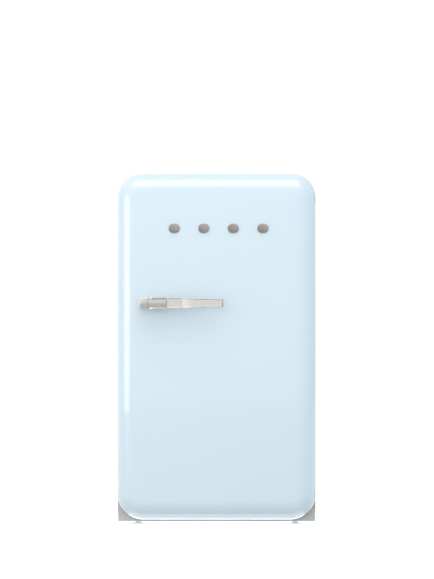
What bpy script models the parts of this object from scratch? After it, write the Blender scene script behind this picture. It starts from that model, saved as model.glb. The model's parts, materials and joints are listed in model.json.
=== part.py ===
"""Compact retro refrigerator: one door hinged on its right, an ice box inside, a pivoting lever handle.

Units are metres. +Z is up, the door faces -Y, and the origin lies on the floor under the middle.
"""

import math

import bmesh
import bpy
from mathutils import Matrix, Vector

# Overall size
WIDTH = 0.543
HEIGHT = 0.960
DEPTH = 0.632
GAP = 0.0003
FOOT_GAP = 0.009

# Door
HANDLE_REACH = 0.052
DOOR_DEPTH = 0.066
DOOR_BOTTOM = 0.0135
DOOR_SKIN = 0.0010
DOOR_LINER = 0.0020
ROLL_WIDTH = 0.052
ROLL_DEPTH = 0.044
CROWN = 0.0010
CROWN_STEPS = (0.100, 0.160)
TOP_RADIUS = 0.062
DOOR_FOOT_RADII = (0.072, 0.070)
SIDE_BOW = 0.0011
TOP_BOW = 0.0020
WIDEST_Z = 0.300

# Gasket and the frame that it closes on
GASKET_GAP = 0.012
GASKET_INSET = 0.019
GASKET_WIDTH = 0.021
GASKET_BOTTOM = 0.066
GASKET_CORNER = 0.012
DYKE_HEIGHT = 0.025
DYKE_WIDTH = 0.014
DYKE_DRAFT = 0.002
DYKE_FIELD = 0.008
DYKE_CLEARANCE = 0.005
DYKE_CORNERS = (0.024, 0.022, 0.012, 0.010)

# Cabinet
CABINET_INSET = 0.001
SHEET = 0.001
SPACER_DEPTH = 0.020
SIDE_WALL = 0.045
TOP_WALL = 0.055
REAR_WALL = 0.051
FLOOR_Z = 0.095
LINER = 0.002
LINER_FLANGE = 0.015
STEP_TOP = 0.235
STEP_DEPTH = 0.196
PLATE_Z = 0.030
PLATE = 0.0015
PLINTH_TOP = 0.062
PLINTH_DEPTH = 0.026
RAIL_BOTTOM = 0.0643
RAIL_DEPTH = 0.036
NICHE_DEPTH = 0.161
NICHE_TOP = 0.190

# Shelves and bin
RIB = 0.008
RIB_HEIGHT = 0.005
GLASS = 0.004
SHELF_SETBACK = 0.106
SHELF_SIDE_GAP = 0.0015
CRISPER_COVER_Z = 0.245
UPPER_SPACE = 0.190
BIN_HEIGHT = 0.138
BIN_WALL = 0.002
BIN_SIDE_GAP = 0.0115
BIN_SETBACK = 0.101

# Ice box
ICE_HEIGHT = 0.115
ICE_SIDE_GAP = 0.014
ICE_SHEET = 0.002
ICE_SETBACK = 0.136
ICE_FRAME = 0.012
FLAP_HEIGHT = 0.1015
FLAP_DEPTH = 0.010
FLAP_PIN = 0.0025
FLAP_DROP = 0.010
EAR_BLOCK = 0.004
EAR_BLOCK_HALF = 0.006

# Door shelves
BALCONY_DEPTH = 0.083
BALCONY_WALL = 0.0025
BALCONY_SIDE_GAP = 0.0025
UPPER_BALCONY_DROP = 0.245
BALCONY_HEIGHT = 0.070
BOTTLE_RISE = 0.030
BOTTLE_HEIGHT = 0.105

# Hinges
HINGE_INSET = 0.012
HINGE_FORWARD = 0.032
HINGE_FROM_END = 0.070
ARM = 0.004
ARM_HALF = 0.005
PIN_RADIUS = 0.0030
PIN_LENGTH = 0.0105
RUNNING = 0.00015
NOTCH_HEIGHT = 0.020
NOTCH_REACH = 0.0155
BUSH_HEIGHT = 0.0075

# Handle
HANDLE_FROM_EDGE = 0.0615
HANDLE_LENGTH = 0.228
HANDLE_DROP = 0.354
BLOCK_LENGTH = 0.0232
BLOCK_HEIGHT = 0.0257
EAR_RADIUS = 0.013
EAR_HEIGHT = 0.033
EAR_WALL = 0.0045
TIP_HEIGHT = 0.0204
TIP_DEPTH = 0.012
WINDOW_END = 0.0500
WEB = 0.004
TONGUE_OVERLAP = 0.004
BLOCK_RECESS = 0.002
TONGUE_RECESS = 0.006
HANDLE_PIN = 0.003
BADGE_DROP = 0.150
BADGE_COUNT = 4
BADGE_PITCH = 0.0807
BADGE_SHIFT = 0.005
BADGE_SIZE = (0.031, 0.026, 0.003)

# Cooling circuit
COMPRESSOR_RADIUS = 0.062
COMPRESSOR_HEIGHT = 0.108
COMPRESSOR_X = 0.105
TUBE = 0.0030
COIL_TUBE = 0.0024
COIL_PITCH = 0.100
COIL_RECESS = 0.006
COIL_FLOOR_GAP = 0.020
COIL_TOP_GAP = 0.060
RUBBER = 0.008
BRACKET = 0.002
BRACKET_MARGIN = 0.012
RUBBER_WIDTH = 0.020
WELD_FLARE = 1.04
TERMINAL_SIZE = 0.030
GLAND_RADIUS = 0.007
GLAND_BORE = 0.0035
GLAND_LENGTH = 0.016
DRIER_RADIUS = 0.010
DRIER_LENGTH = 0.070
DRIER_REACH = 0.085
DRIER_BACK = 0.045
TUBE_STEP = 0.012
TRAY_HALF = (0.075, 0.060)
TRAY_HEIGHT = 0.030
TRAY_GAP = 0.004
DRAIN_RADIUS = 0.006
DRAIN_BORE = 0.004
DRAIN_BACK = 0.050
DRAIN_DROP = 0.020

# Feet and rear spacers
FOOT_RADIUS = 0.018
FOOT_INSET = 0.056
FRONT_FOOT_SETBACK = 0.101
REAR_FOOT_SETBACK = 0.051
FOOT_STEM = 0.005
PAD_HEIGHT = 0.008
STEM_RISE = 0.010
FOOT_CHAMFER = 0.004
SPACER_HALF = 0.020
SPACER_HEIGHT = 0.060

# Controls on the right-hand wall
CONTROL_DROP = 0.085
CONTROL_SETBACK = 0.094
CONTROL_LENGTH = 0.142
CONTROL_DEPTH = 0.030
CONTROL_HALF = 0.030
KNOB_RADIUS = 0.018
KNOB_DEPTH = 0.012
KNOB_SETBACK = 0.034
GRIP = (0.020, 0.0025, 0.0165)
COVER_SETBACK = 0.064
COVER_MARGIN = 0.010
COVER_DEPTH = 0.018
COVER_HALF = 0.022
COVER_WALL = 0.0015
LAMP_RADIUS = 0.006
LAMP_LENGTH = 0.045
LAMP_DEPTH = 0.0085
SWITCH_DROP = 0.030
SWITCH_SETBACK = 0.026
SWITCH_LENGTH = 0.036
SWITCH_HALF = 0.011
SWITCH_WALL = 0.0055
PLUNGER_LENGTH = 0.030

# Faces worked out from the sizes above
FRONT_Y = -DEPTH / 2
CROWN_Y = FRONT_Y + HANDLE_REACH
DOOR_BACK = CROWN_Y + DOOR_DEPTH
CABINET_FRONT = DOOR_BACK + GASKET_GAP
CABINET_BACK = DEPTH / 2 - SPACER_DEPTH
CABINET_HALF = WIDTH / 2 - CABINET_INSET
CABINET_TOP = HEIGHT - CABINET_INSET
INSIDE = CABINET_HALF - SHEET
CAVITY_HALF = WIDTH / 2 - SIDE_WALL
CAVITY_TOP = HEIGHT - TOP_WALL
CAVITY_BACK = CABINET_BACK - REAR_WALL
RIM_HALF = CAVITY_HALF + LINER_FLANGE
RIM_TOP = CAVITY_TOP + LINER_FLANGE
RIM_BOTTOM = FLOOR_Z - LINER_FLANGE
STEP_FRONT = CABINET_BACK - STEP_DEPTH
NICHE_FRONT = CABINET_BACK - NICHE_DEPTH
SHELF_FRONT = CABINET_FRONT + SHELF_SETBACK
ICE_BOTTOM = CAVITY_TOP - ICE_HEIGHT
ICE_FRONT = CABINET_FRONT + ICE_SETBACK
UPPER_SHELF_Z = ICE_BOTTOM - UPPER_SPACE
MIDDLE_SHELF_Z = (UPPER_SHELF_Z + CRISPER_COVER_Z) / 2
HINGE_X = WIDTH / 2 - HINGE_INSET
HINGE_Y = CABINET_FRONT - HINGE_FORWARD
LOWER_HINGE_Z = DOOR_BOTTOM + HINGE_FROM_END
UPPER_HINGE_Z = HEIGHT - HINGE_FROM_END
DYKE_HALF = CAVITY_HALF - DYKE_CLEARANCE
DYKE_BOTTOM = FLOOR_Z + DYKE_CLEARANCE
DYKE_TOP = CAVITY_TOP - DYKE_CLEARANCE
DYKE_Y = DOOR_BACK + DYKE_HEIGHT
FIELD_Y = DOOR_BACK + DYKE_FIELD
HANDLE_X = HANDLE_FROM_EDGE - WIDTH / 2
PIVOT_X = HANDLE_X + BLOCK_LENGTH + EAR_RADIUS + GAP
PIVOT_Y = FRONT_Y + EAR_RADIUS
HANDLE_Z = HEIGHT - HANDLE_DROP
BADGE_Z = HEIGHT - BADGE_DROP
FAR = 1.0
CORNER_STEPS = 5
SPANS = 3

# Materials: colour, roughness, metallic
LOOKS = {
    "pastel_enamel": ((0.70, 0.84, 0.92), 0.15, 0.0),
    "grey_plastic": ((0.42, 0.42, 0.42), 0.55, 0.0),
    "white_plastic": ((0.86, 0.88, 0.90), 0.35, 0.0),
    "clear_plastic": ((0.78, 0.86, 0.92), 0.15, 0.0),
    "insulation": ((0.85, 0.78, 0.55), 0.90, 0.0),
    "zinc_steel": ((0.62, 0.63, 0.64), 0.40, 1.0),
    "satin_metal": ((0.62, 0.61, 0.59), 0.28, 1.0),
    "aluminium": ((0.78, 0.79, 0.80), 0.35, 1.0),
    "copper": ((0.72, 0.42, 0.28), 0.30, 1.0),
    "black_enamel": ((0.03, 0.03, 0.03), 0.40, 0.0),
    "black_rubber": ((0.03, 0.03, 0.03), 0.85, 0.0),
    "grey_rubber": ((0.62, 0.63, 0.64), 0.70, 0.0),
    "glass": ((0.80, 0.90, 0.88), 0.05, 0.0),
}


def look(name):
    """The Principled material of this name, made once."""
    if name in bpy.data.materials:
        return bpy.data.materials[name]
    colour, roughness, metallic = LOOKS[name]
    made = bpy.data.materials.new(name)
    made.use_nodes = True
    shader = made.node_tree.nodes["Principled BSDF"]
    shader.inputs["Base Color"].default_value = (*colour, 1.0)
    shader.inputs["Roughness"].default_value = roughness
    shader.inputs["Metallic"].default_value = metallic
    return made


def add(name, shape, finish, origin=(0.0, 0.0, 0.0)):
    """Turns a bmesh in world coordinates into an object whose own origin is at the given point."""
    bmesh.ops.recalc_face_normals(shape, faces=shape.faces[:])
    bmesh.ops.translate(shape, verts=shape.verts[:], vec=-Vector(origin))
    mesh = bpy.data.meshes.new(name)
    shape.to_mesh(mesh)
    shape.free()
    mesh.shade_smooth()
    mesh.set_sharp_from_angle(angle=math.radians(30))
    made = bpy.data.objects.new(name, mesh)
    bpy.context.collection.objects.link(made)
    made.location = origin
    if finish:
        mesh.materials.append(look(finish))
    return made


def combine(target, tool, operation):
    """Joins, cuts or intersects the target with a tool object, which is hidden afterwards."""
    tool.hide_render = True
    tool.display_type = "WIRE"
    step = target.modifiers.new(operation.lower(), "BOOLEAN")
    step.operation = operation
    step.solver = "EXACT"
    step.object = tool


def cut(target, *tools):
    for tool in tools:
        combine(target, tool, "DIFFERENCE")


def join(target, *tools):
    for tool in tools:
        combine(target, tool, "UNION")


def loft(rings, closed=False):
    """A solid through rings of equal point counts, capped at its ends or closed into a tube."""
    shape = bmesh.new()
    rows = [[shape.verts.new(point) for point in ring] for ring in rings]
    pairs = list(zip(rows, rows[1:]))
    if closed:
        pairs.append((rows[-1], rows[0]))
    for low, high in pairs:
        for i in range(len(low)):
            j = (i + 1) % len(low)
            shape.faces.new((low[i], low[j], high[j], high[i]))
    if not closed:
        shape.faces.new(rows[0])
        shape.faces.new(rows[-1])
    return shape


def ribbon(paths):
    """A solid whose section runs through one point of every open path, capped at both path ends."""
    shape = bmesh.new()
    rows = [[shape.verts.new(point) for point in path] for path in paths]
    for low, high in zip(rows, rows[1:] + rows[:1]):
        for i in range(len(low) - 1):
            shape.faces.new((low[i], low[i + 1], high[i + 1], high[i]))
    shape.faces.new([row[0] for row in rows])
    shape.faces.new([row[-1] for row in rows])
    return shape


def box(x, y, z):
    """A rectangular block between pairs of limits."""
    ring = [(x[0], y[0]), (x[1], y[0]), (x[1], y[1]), (x[0], y[1])]
    return loft([[(a, b, height) for a, b in ring] for height in z])


def prism_x(outline, x):
    return loft([[(side, a, b) for a, b in outline] for side in x])


def prism_y(outline, y):
    return loft([[(a, side, b) for a, b in outline] for side in y])


def prism_z(outline, z):
    return loft([[(a, b, side) for a, b in outline] for side in z])


def rod(centre, axis, radius, length, sides=16):
    """A cylinder that starts at the centre point and runs along the axis."""
    shape = bmesh.new()
    turn = Vector(axis).to_track_quat("Z", "Y").to_matrix().to_4x4()
    middle = Vector(centre) + Vector(axis).normalized() * (length / 2)
    bmesh.ops.create_cone(
        shape,
        cap_ends=True,
        segments=sides,
        radius1=radius,
        radius2=radius,
        depth=length,
        matrix=Matrix.Translation(middle) @ turn,
    )
    return shape


def turned(centre, profile, sides=24):
    """A solid of revolution about a vertical axis through the centre; the profile is (radius, height)."""
    rings = []
    for radius, height in profile:
        angles = [2 * math.pi * i / sides for i in range(sides)]
        ring = [(centre[0] + radius * math.cos(a), centre[1] + radius * math.sin(a), height) for a in angles]
        rings.append(ring)
    return loft(rings)


def arc(centre, radii, start, end, steps):
    """Points along an elliptical arc, in a plane, both ends included."""
    points = []
    for i in range(steps + 1):
        angle = math.radians(start + (end - start) * i / steps)
        points.append((centre[0] + radii[0] * math.cos(angle), centre[1] + radii[1] * math.sin(angle)))
    return points


def between(start, end):
    """The points inside a straight run of an outline."""
    return [tuple(Vector(start).lerp(Vector(end), i / SPANS)) for i in range(1, SPANS)]


def top_corners(half, top, radius):
    right = arc((half - radius, top - radius), (radius, radius), 0, 90, CORNER_STEPS)
    left = arc((radius - half, top - radius), (radius, radius), 90, 180, CORNER_STEPS)
    return right, left


def outline(half, bottom, top, top_radius, foot_radii):
    """A rounded rectangle in X and Z, anticlockwise from its lower right corner."""
    rx, rz = foot_radii
    right, left = top_corners(half, top, top_radius)
    low_right = arc((half - rx, bottom + rz), (rx, rz), -90, 0, CORNER_STEPS)
    low_left = arc((rx - half, bottom + rz), (rx, rz), 180, 270, CORNER_STEPS)
    corners = [low_right, right, left, low_left]
    points = []
    for here, following in zip(corners, corners[1:] + corners[:1]):
        points += here + between(here[-1], following[0])
    return points


def swell(x, z, bow):
    """The slight barrel shape of the sides and the crown of the top edge."""
    reach = HEIGHT - WIDEST_Z
    narrower = 1 - bow * ((z - WIDEST_Z) / reach) ** 2 / (WIDTH / 2)
    weight = max(0.0, (z - HEIGHT / 2) / (HEIGHT / 2))
    return x * narrower, z - TOP_BOW * weight * (x / (WIDTH / 2)) ** 2


def shrunk(radius, inset):
    return max(radius - inset, 0.004)


def door_ring(inset, y):
    """The door's own outline, moved inwards all round, at a depth."""
    foot = (shrunk(DOOR_FOOT_RADII[0], inset), shrunk(DOOR_FOOT_RADII[1], inset))
    points = outline(
        WIDTH / 2 - inset, DOOR_BOTTOM + inset, HEIGHT - inset, shrunk(TOP_RADIUS, inset), foot
    )
    return [(x, y, z) for x, z in (swell(a, b, SIDE_BOW) for a, b in points)]


def frame_ring(half, bottom, top, radius, y):
    """A plain rounded rectangle with as many points as the door's outline."""
    return [(x, y, z) for x, z in outline(half, bottom, top, radius, (radius, radius))]


def cabinet_ring(inset, bottom, y):
    """The cabinet's outline with round top corners and nearly square bottom ones."""
    corner = 0.001
    half, top = CABINET_HALF - inset, CABINET_TOP - inset
    points = outline(half, bottom, top, shrunk(TOP_RADIUS, inset), (corner, corner))
    return [(x, y, z) for x, z in (swell(a, b, 0.0) for a, b in points)]


def cabinet_path(inset, y):
    """The open run of the cabinet's outline: up one side, over the top and down the other."""
    half = CABINET_HALF - inset
    right, left = top_corners(half, CABINET_TOP - inset, shrunk(TOP_RADIUS, inset))
    points = [(half, FOOT_GAP), *right, *between(right[-1], left[0]), *left, (-half, FOOT_GAP)]
    return [(x, y, z) for x, z in (swell(a, b, 0.0) for a, b in points)]


def flange_path(y):
    """The inner edge of the shell's front fold, which frames the liner's rim."""
    half, top, radius = RIM_HALF + GAP, RIM_TOP + GAP, 0.001
    right, left = top_corners(half, top, radius)
    points = [(half, FOOT_GAP), *right, *between(right[-1], left[0]), *left, (-half, FOOT_GAP)]
    return [(x, y, z) for x, z in points]


def roll(offset, steps=5):
    """Rings of the door's front, from the straight side band over the edge roll to the crown."""
    rings = [door_ring(offset, DOOR_BACK)]
    start = CROWN_Y + CROWN + ROLL_DEPTH
    for i in range(steps + 1):
        turn = math.pi / 2 * i / steps
        inset = ROLL_WIDTH * (1 - math.cos(turn))
        rings.append(door_ring(offset + inset, start + offset - ROLL_DEPTH * math.sin(turn)))
    near, far = CROWN_STEPS
    rings.append(door_ring(offset + near, CROWN_Y + offset + CROWN * 0.3))
    rings.append(door_ring(offset + far, CROWN_Y + offset))
    return rings


def door_skin():
    outer = roll(0.0)
    inner = roll(DOOR_SKIN)
    return add("door_skin", loft(inner[::-1] + outer), "pastel_enamel", (HINGE_X, HINGE_Y, 0.0))


def door_back_rings(offset):
    """Rings of the door's rear face: edge, foot of the dyke, its top, and the field inside it."""
    y = DOOR_BACK - offset
    low, high = DYKE_BOTTOM, DYKE_TOP
    half = DYKE_HALF
    edge = DOOR_SKIN + GAP
    base, outside, inside, sunk = DYKE_CORNERS
    if offset > DOOR_LINER:
        edge += GAP
    foot = -DYKE_DRAFT + offset
    inner = DYKE_WIDTH - offset
    field = DYKE_WIDTH + DYKE_DRAFT - offset
    return [
        door_ring(edge, y),
        frame_ring(half - foot, low + foot, high - foot, base, y),
        frame_ring(half - offset, low + offset, high - offset, outside, y + DYKE_HEIGHT),
        frame_ring(half - inner, low + inner, high - inner, inside, y + DYKE_HEIGHT),
        frame_ring(half - field, low + field, high - field, sunk, y + DYKE_FIELD),
    ]


def door_liner():
    rear = door_back_rings(0.0)
    front = door_back_rings(DOOR_LINER)
    return add("door_liner", loft(front[::-1] + rear), "white_plastic", (HINGE_X, HINGE_Y, 0.0))


def door_foam():
    offset = DOOR_SKIN + GAP
    front = roll(offset)[1:]
    rear = door_back_rings(DOOR_LINER + GAP)
    return add("door_foam", loft(rear[::-1] + front), "insulation", (HINGE_X, HINGE_Y, 0.0))


def door_gasket():
    outer = WIDTH / 2 - GASKET_INSET
    top = HEIGHT - GASKET_INSET
    inner_radius = GASKET_CORNER
    outer_radius = inner_radius + GASKET_WIDTH
    near, far = DOOR_BACK + GAP, CABINET_FRONT - GAP
    narrow = GASKET_WIDTH
    rings = [
        frame_ring(outer, GASKET_BOTTOM, top, outer_radius, near),
        frame_ring(outer, GASKET_BOTTOM, top, outer_radius, far),
        frame_ring(outer - narrow, GASKET_BOTTOM + narrow, top - narrow, inner_radius, far),
        frame_ring(outer - narrow, GASKET_BOTTOM + narrow, top - narrow, inner_radius, near),
    ]
    return add("door_gasket", loft(rings, closed=True), "grey_rubber", (HINGE_X, HINGE_Y, 0.0))


def tray(name, finish, x, y, z, wall, origin=(0.0, 0.0, 0.0)):
    """An open-topped tray with a floor and four walls; its inside wall faces are upright."""
    made = add(name, box(x, y, z), finish, origin)
    inner = box((x[0] + wall, x[1] - wall), (y[0] + wall, y[1] - wall), (z[0] + wall, z[1] + FAR))
    cut(made, add(name + "_inside", inner, None))
    return made


def balconies():
    """Three shelves that hang between the sides of the dyke."""
    half = DYKE_HALF - DYKE_WIDTH - DYKE_DRAFT - BALCONY_SIDE_GAP
    upper = DYKE_TOP - UPPER_BALCONY_DROP
    bottle = DYKE_BOTTOM + BOTTLE_RISE
    middle = (bottle + BOTTLE_HEIGHT + upper) / 2 - BALCONY_HEIGHT / 4
    near = FIELD_Y + GAP
    made = []
    rows = (("balcony_upper", upper, BALCONY_HEIGHT), ("balcony_middle", middle, BALCONY_HEIGHT))
    rows += (("bottle_shelf", bottle, BOTTLE_HEIGHT),)
    for name, base, height in rows:
        y = (near, near + BALCONY_DEPTH)
        z = (base, base + height)
        made.append(tray(name, "clear_plastic", (-half, half), y, z, BALCONY_WALL, (0, near, base)))
    return made


def notch(name, centre_z, margin):
    """The pocket in the door's edge that the hinge arm swings in."""
    x = (HINGE_X - HINGE_INSET - margin, WIDTH / 2 + FAR)
    y = (HINGE_Y - NOTCH_REACH - margin, DOOR_BACK + DYKE_HEIGHT / 5)
    half = NOTCH_HEIGHT / 2 + margin
    return add(name, box(x, y, (centre_z - half, centre_z + half)), None)


def hinges(skin, liner, foam):
    """Brackets and pins on the cabinet, bushes in the door, one set near each end."""
    bushes = []
    rows = (("lower", LOWER_HINGE_Z, 1), ("upper", UPPER_HINGE_Z, -1))
    for name, z, up in rows:
        cut(skin, notch("notch_skin_" + name, z, 0.0))
        cut(liner, notch("notch_liner_" + name, z, 0.0))
        cut(foam, notch("notch_foam_" + name, z, GAP))
        start = z - up * (NOTCH_HEIGHT / 2 - GAP * 4)
        end = start + up * ARM
        x = (HINGE_X - ARM_HALF, HINGE_X + ARM_HALF)
        y = (HINGE_Y, CABINET_FRONT - GAP)
        arm = add("hinge_bracket_" + name, box(x, y, sorted((start, end))), "zinc_steel")
        nose = rod((HINGE_X, HINGE_Y, min(start, end)), (0, 0, 1), ARM_HALF, ARM)
        pad_x = (HINGE_X - ARM_HALF, CABINET_HALF - GAP)
        pad_y = (CABINET_FRONT - GAP - PLATE, CABINET_FRONT - GAP)
        pad = box(pad_x, pad_y, (z - NOTCH_HEIGHT, z + NOTCH_HEIGHT))
        join(arm, add("hinge_nose_" + name, nose, None), add("hinge_pad_" + name, pad, None))
        base = end + up * GAP
        pin = rod((HINGE_X, HINGE_Y, base), (0, 0, up), PIN_RADIUS, PIN_LENGTH)
        add("hinge_pin_" + name, pin, "satin_metal", (HINGE_X, HINGE_Y, z))
        face = z + up * (NOTCH_HEIGHT / 2 - GAP)
        lower = sorted((face - up * BUSH_HEIGHT, face))
        left = HINGE_X - HINGE_INSET + GAP
        block = box((left, WIDTH / 2 - 2 * PLATE), (HINGE_Y - NOTCH_REACH + GAP, DOOR_BACK - GAP), lower)
        bush = add("hinge_bush_" + name, block, "grey_plastic", (HINGE_X, HINGE_Y, z))
        bore = rod((HINGE_X, HINGE_Y, z - FAR / 2), (0, 0, 1), PIN_RADIUS + RUNNING, FAR)
        cut(bush, add("hinge_bore_" + name, bore, None))
        bushes.append(bush)
    return bushes


def cabinet_shell():
    """One sheet wrapped over both sides and the top, with its front edge folded in."""
    rear, front, fold = CABINET_BACK, CABINET_FRONT, CABINET_FRONT + SHEET
    paths = [
        flange_path(front),
        cabinet_path(0.0, front),
        cabinet_path(0.0, rear),
        cabinet_path(SHEET, rear),
        cabinet_path(SHEET, fold),
        flange_path(fold),
    ]
    shell = add("cabinet_shell", ribbon(paths), "pastel_enamel")
    room = box((-INSIDE, INSIDE), (front - SHEET, fold + GAP), (0.0, RAIL_BOTTOM - 2 * GAP))
    cut(shell, add("plinth_room", room, None))
    return shell


def rear_panel():
    y = (CABINET_BACK - SHEET, CABINET_BACK)
    rings = [cabinet_ring(SHEET + GAP, NICHE_TOP + 2 * GAP, side) for side in y]
    return add("rear_panel", loft(rings), "zinc_steel")


def foot_centre(side, front):
    """Where a foot stands on the floor."""
    y = CABINET_FRONT + FRONT_FOOT_SETBACK if front else CABINET_BACK - REAR_FOOT_SETBACK
    return (side * (WIDTH / 2 - FOOT_INSET), y, 0.0)


def base_plate():
    half = INSIDE - GAP
    y = (CABINET_FRONT + 2 * SHEET + GAP, CABINET_BACK)
    plate = add("base_plate", box((-half, half), y, (PLATE_Z, PLATE_Z + PLATE)), "zinc_steel")
    for side in (-1, 1):
        hole = rod(foot_centre(side, True), (0, 0, 1), FOOT_STEM + GAP, PLATE_Z + FAR)
        cut(plate, add("foot_hole_%+d" % side, hole, None))
    return plate


def niche_panel():
    """The L-shaped sheet between the insulation and the compressor."""
    floor, top = PLATE_Z + PLATE + GAP, NICHE_TOP
    front, back = NICHE_FRONT, CABINET_BACK - SHEET - GAP
    section = [(front, floor), (front + SHEET, floor), (front + SHEET, top - SHEET)]
    section += [(back, top - SHEET), (back, top), (front, top)]
    half = INSIDE - GAP
    return add("niche_panel", prism_x(section, (-half, half)), "zinc_steel")


def bottom_rail():
    """The folded crossbar that the lower run of the gasket closes on."""
    half = RIM_HALF
    front = CABINET_FRONT
    top = RIM_BOTTOM - GAP
    fold = 1.5 * SHEET
    back = front + RAIL_DEPTH
    section = [(front, RAIL_BOTTOM), (back, RAIL_BOTTOM), (back, RAIL_BOTTOM + fold)]
    section += [(front + fold, RAIL_BOTTOM + fold), (front + fold, top), (front, top)]
    return add("bottom_rail", prism_x(section, (-half, half)), "pastel_enamel")


def plinth_cover():
    front, wall = CABINET_FRONT, 2 * SHEET
    back = front + PLINTH_DEPTH
    section = [(front, FOOT_GAP), (front + wall, FOOT_GAP), (front + wall, PLINTH_TOP - wall)]
    section += [(back, PLINTH_TOP - wall), (back, PLINTH_TOP), (front, PLINTH_TOP)]
    half = INSIDE - 2 * GAP
    return add("plinth_cover", prism_x(section, (-half, half)), "grey_plastic")


def liner_section(grow, front=CABINET_FRONT):
    """The cabinet's inside seen from the side, with the step over the compressor, grown by a wall."""
    low, high, back = FLOOR_Z - grow, CAVITY_TOP + grow, CAVITY_BACK + grow
    corner = STEP_FRONT + grow
    top = STEP_TOP - grow
    return [(front, low), (corner, low), (corner, top), (back, top), (back, high), (front, high)]


def inner_liner():
    """The moulded tub, with a front rim, shelf ribs and a drain hole."""
    wall = LINER
    half = CAVITY_HALF
    liner = add("inner_liner", prism_x(liner_section(wall), (-half - wall, half + wall)), "white_plastic")
    rim = box((-RIM_HALF, RIM_HALF), (CABINET_FRONT, CABINET_FRONT + wall), (RIM_BOTTOM, RIM_TOP))
    join(liner, add("liner_rim", rim, None))
    section = liner_section(0.0, -FAR)
    cut(liner, add("liner_inside", prism_x(section, (-half, half)), None))
    for i, top in enumerate((CRISPER_COVER_Z, MIDDLE_SHELF_Z, UPPER_SHELF_Z)):
        for side in (-1, 1):
            x = sorted((side * (half + wall / 2), side * (half - RIB)))
            y = (SHELF_FRONT + RIB, CAVITY_BACK - RIB)
            rib = box(x, y, (top - GAP - RIB_HEIGHT, top - GAP))
            join(liner, add("rib_%d_%+d" % (i, side), rib, None))
    return liner


def foam_insulation():
    """The rigid foam between the shell and the liner, cut away for every piece that sits in it."""
    front = CABINET_FRONT + LINER + GAP
    back = CABINET_BACK - SHEET - GAP
    bottom = PLATE_Z + PLATE + GAP
    rings = [cabinet_ring(SHEET + GAP, bottom, y) for y in (front, back)]
    foam = add("foam_insulation", loft(rings), "insulation")
    grow = LINER + GAP
    section = liner_section(grow, -FAR)
    half = CAVITY_HALF + grow
    cut(foam, add("foam_cavity", prism_x(section, (-half, half)), None))
    niche = box((-FAR, FAR), (NICHE_FRONT - GAP, FAR), (-FAR, NICHE_TOP + GAP))
    front_room = box((-FAR, FAR), (-FAR, CABINET_FRONT + RAIL_DEPTH + GAP), (-FAR, RIM_BOTTOM + GAP))
    cut(foam, add("foam_niche", niche, None), add("foam_front_room", front_room, None))
    low, high = coil_limits()
    for side in (-1, 1):
        x = sorted((side * (INSIDE + RIB), side * (INSIDE - GAP - COIL_RECESS)))
        recess = box(x, (coil_front() - RIB, coil_back() + RIB), (low - RIB, high + RIB))
        cut(foam, add("coil_recess_%+d" % side, recess, None))
        pocket = rod(foot_centre(side, True), (0, 0, 1), FOOT_STEM + 2 * SHEET, PLATE_Z + 5 * FOOT_STEM)
        cut(foam, add("foot_pocket_%+d" % side, pocket, None))
    return foam


def coil_limits():
    return STEP_TOP + COIL_FLOOR_GAP, CAVITY_TOP - COIL_TOP_GAP


def coil_front():
    return CABINET_FRONT + SIDE_WALL


def coil_back():
    return CAVITY_BACK


def coil(name, side):
    """A serpentine tube that gives off heat through the side of the shell."""
    low, high = coil_limits()
    x = side * (INSIDE - GAP - COIL_RECESS / 2)
    rows = max(2, int((high - low) / COIL_PITCH))
    pitch = (high - low - 2 * COIL_TUBE) / rows
    bend = pitch / 2
    near, far = coil_front() + bend, coil_back() - bend
    points = []
    for i in range(rows + 1):
        z = low + COIL_TUBE + pitch * i
        ends = (near, far) if i % 2 == 0 else (far, near)
        points.append((x, ends[0], z))
        if i == rows:
            points.append((x, ends[1], z))
            continue
        turn = 1 if ends[1] == far else -1
        for y, height in arc((ends[1], z + bend), (turn * bend, bend), -90, 90, 6)[:-1]:
            points.append((x, y, height))
    return pipe(name, points, COIL_TUBE, "copper")


def pipe(name, points, radius, finish):
    """A round tube along a polyline, with filled ends."""
    curve = bpy.data.curves.new(name, "CURVE")
    curve.dimensions = "3D"
    curve.bevel_depth = radius
    curve.bevel_resolution = 1
    curve.use_fill_caps = True
    line = curve.splines.new("POLY")
    line.points.add(len(points) - 1)
    for target, point in zip(line.points, points):
        target.co = (*point, 1.0)
    curve.materials.append(look(finish))
    made = bpy.data.objects.new(name, curve)
    bpy.context.collection.objects.link(made)
    return made


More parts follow.
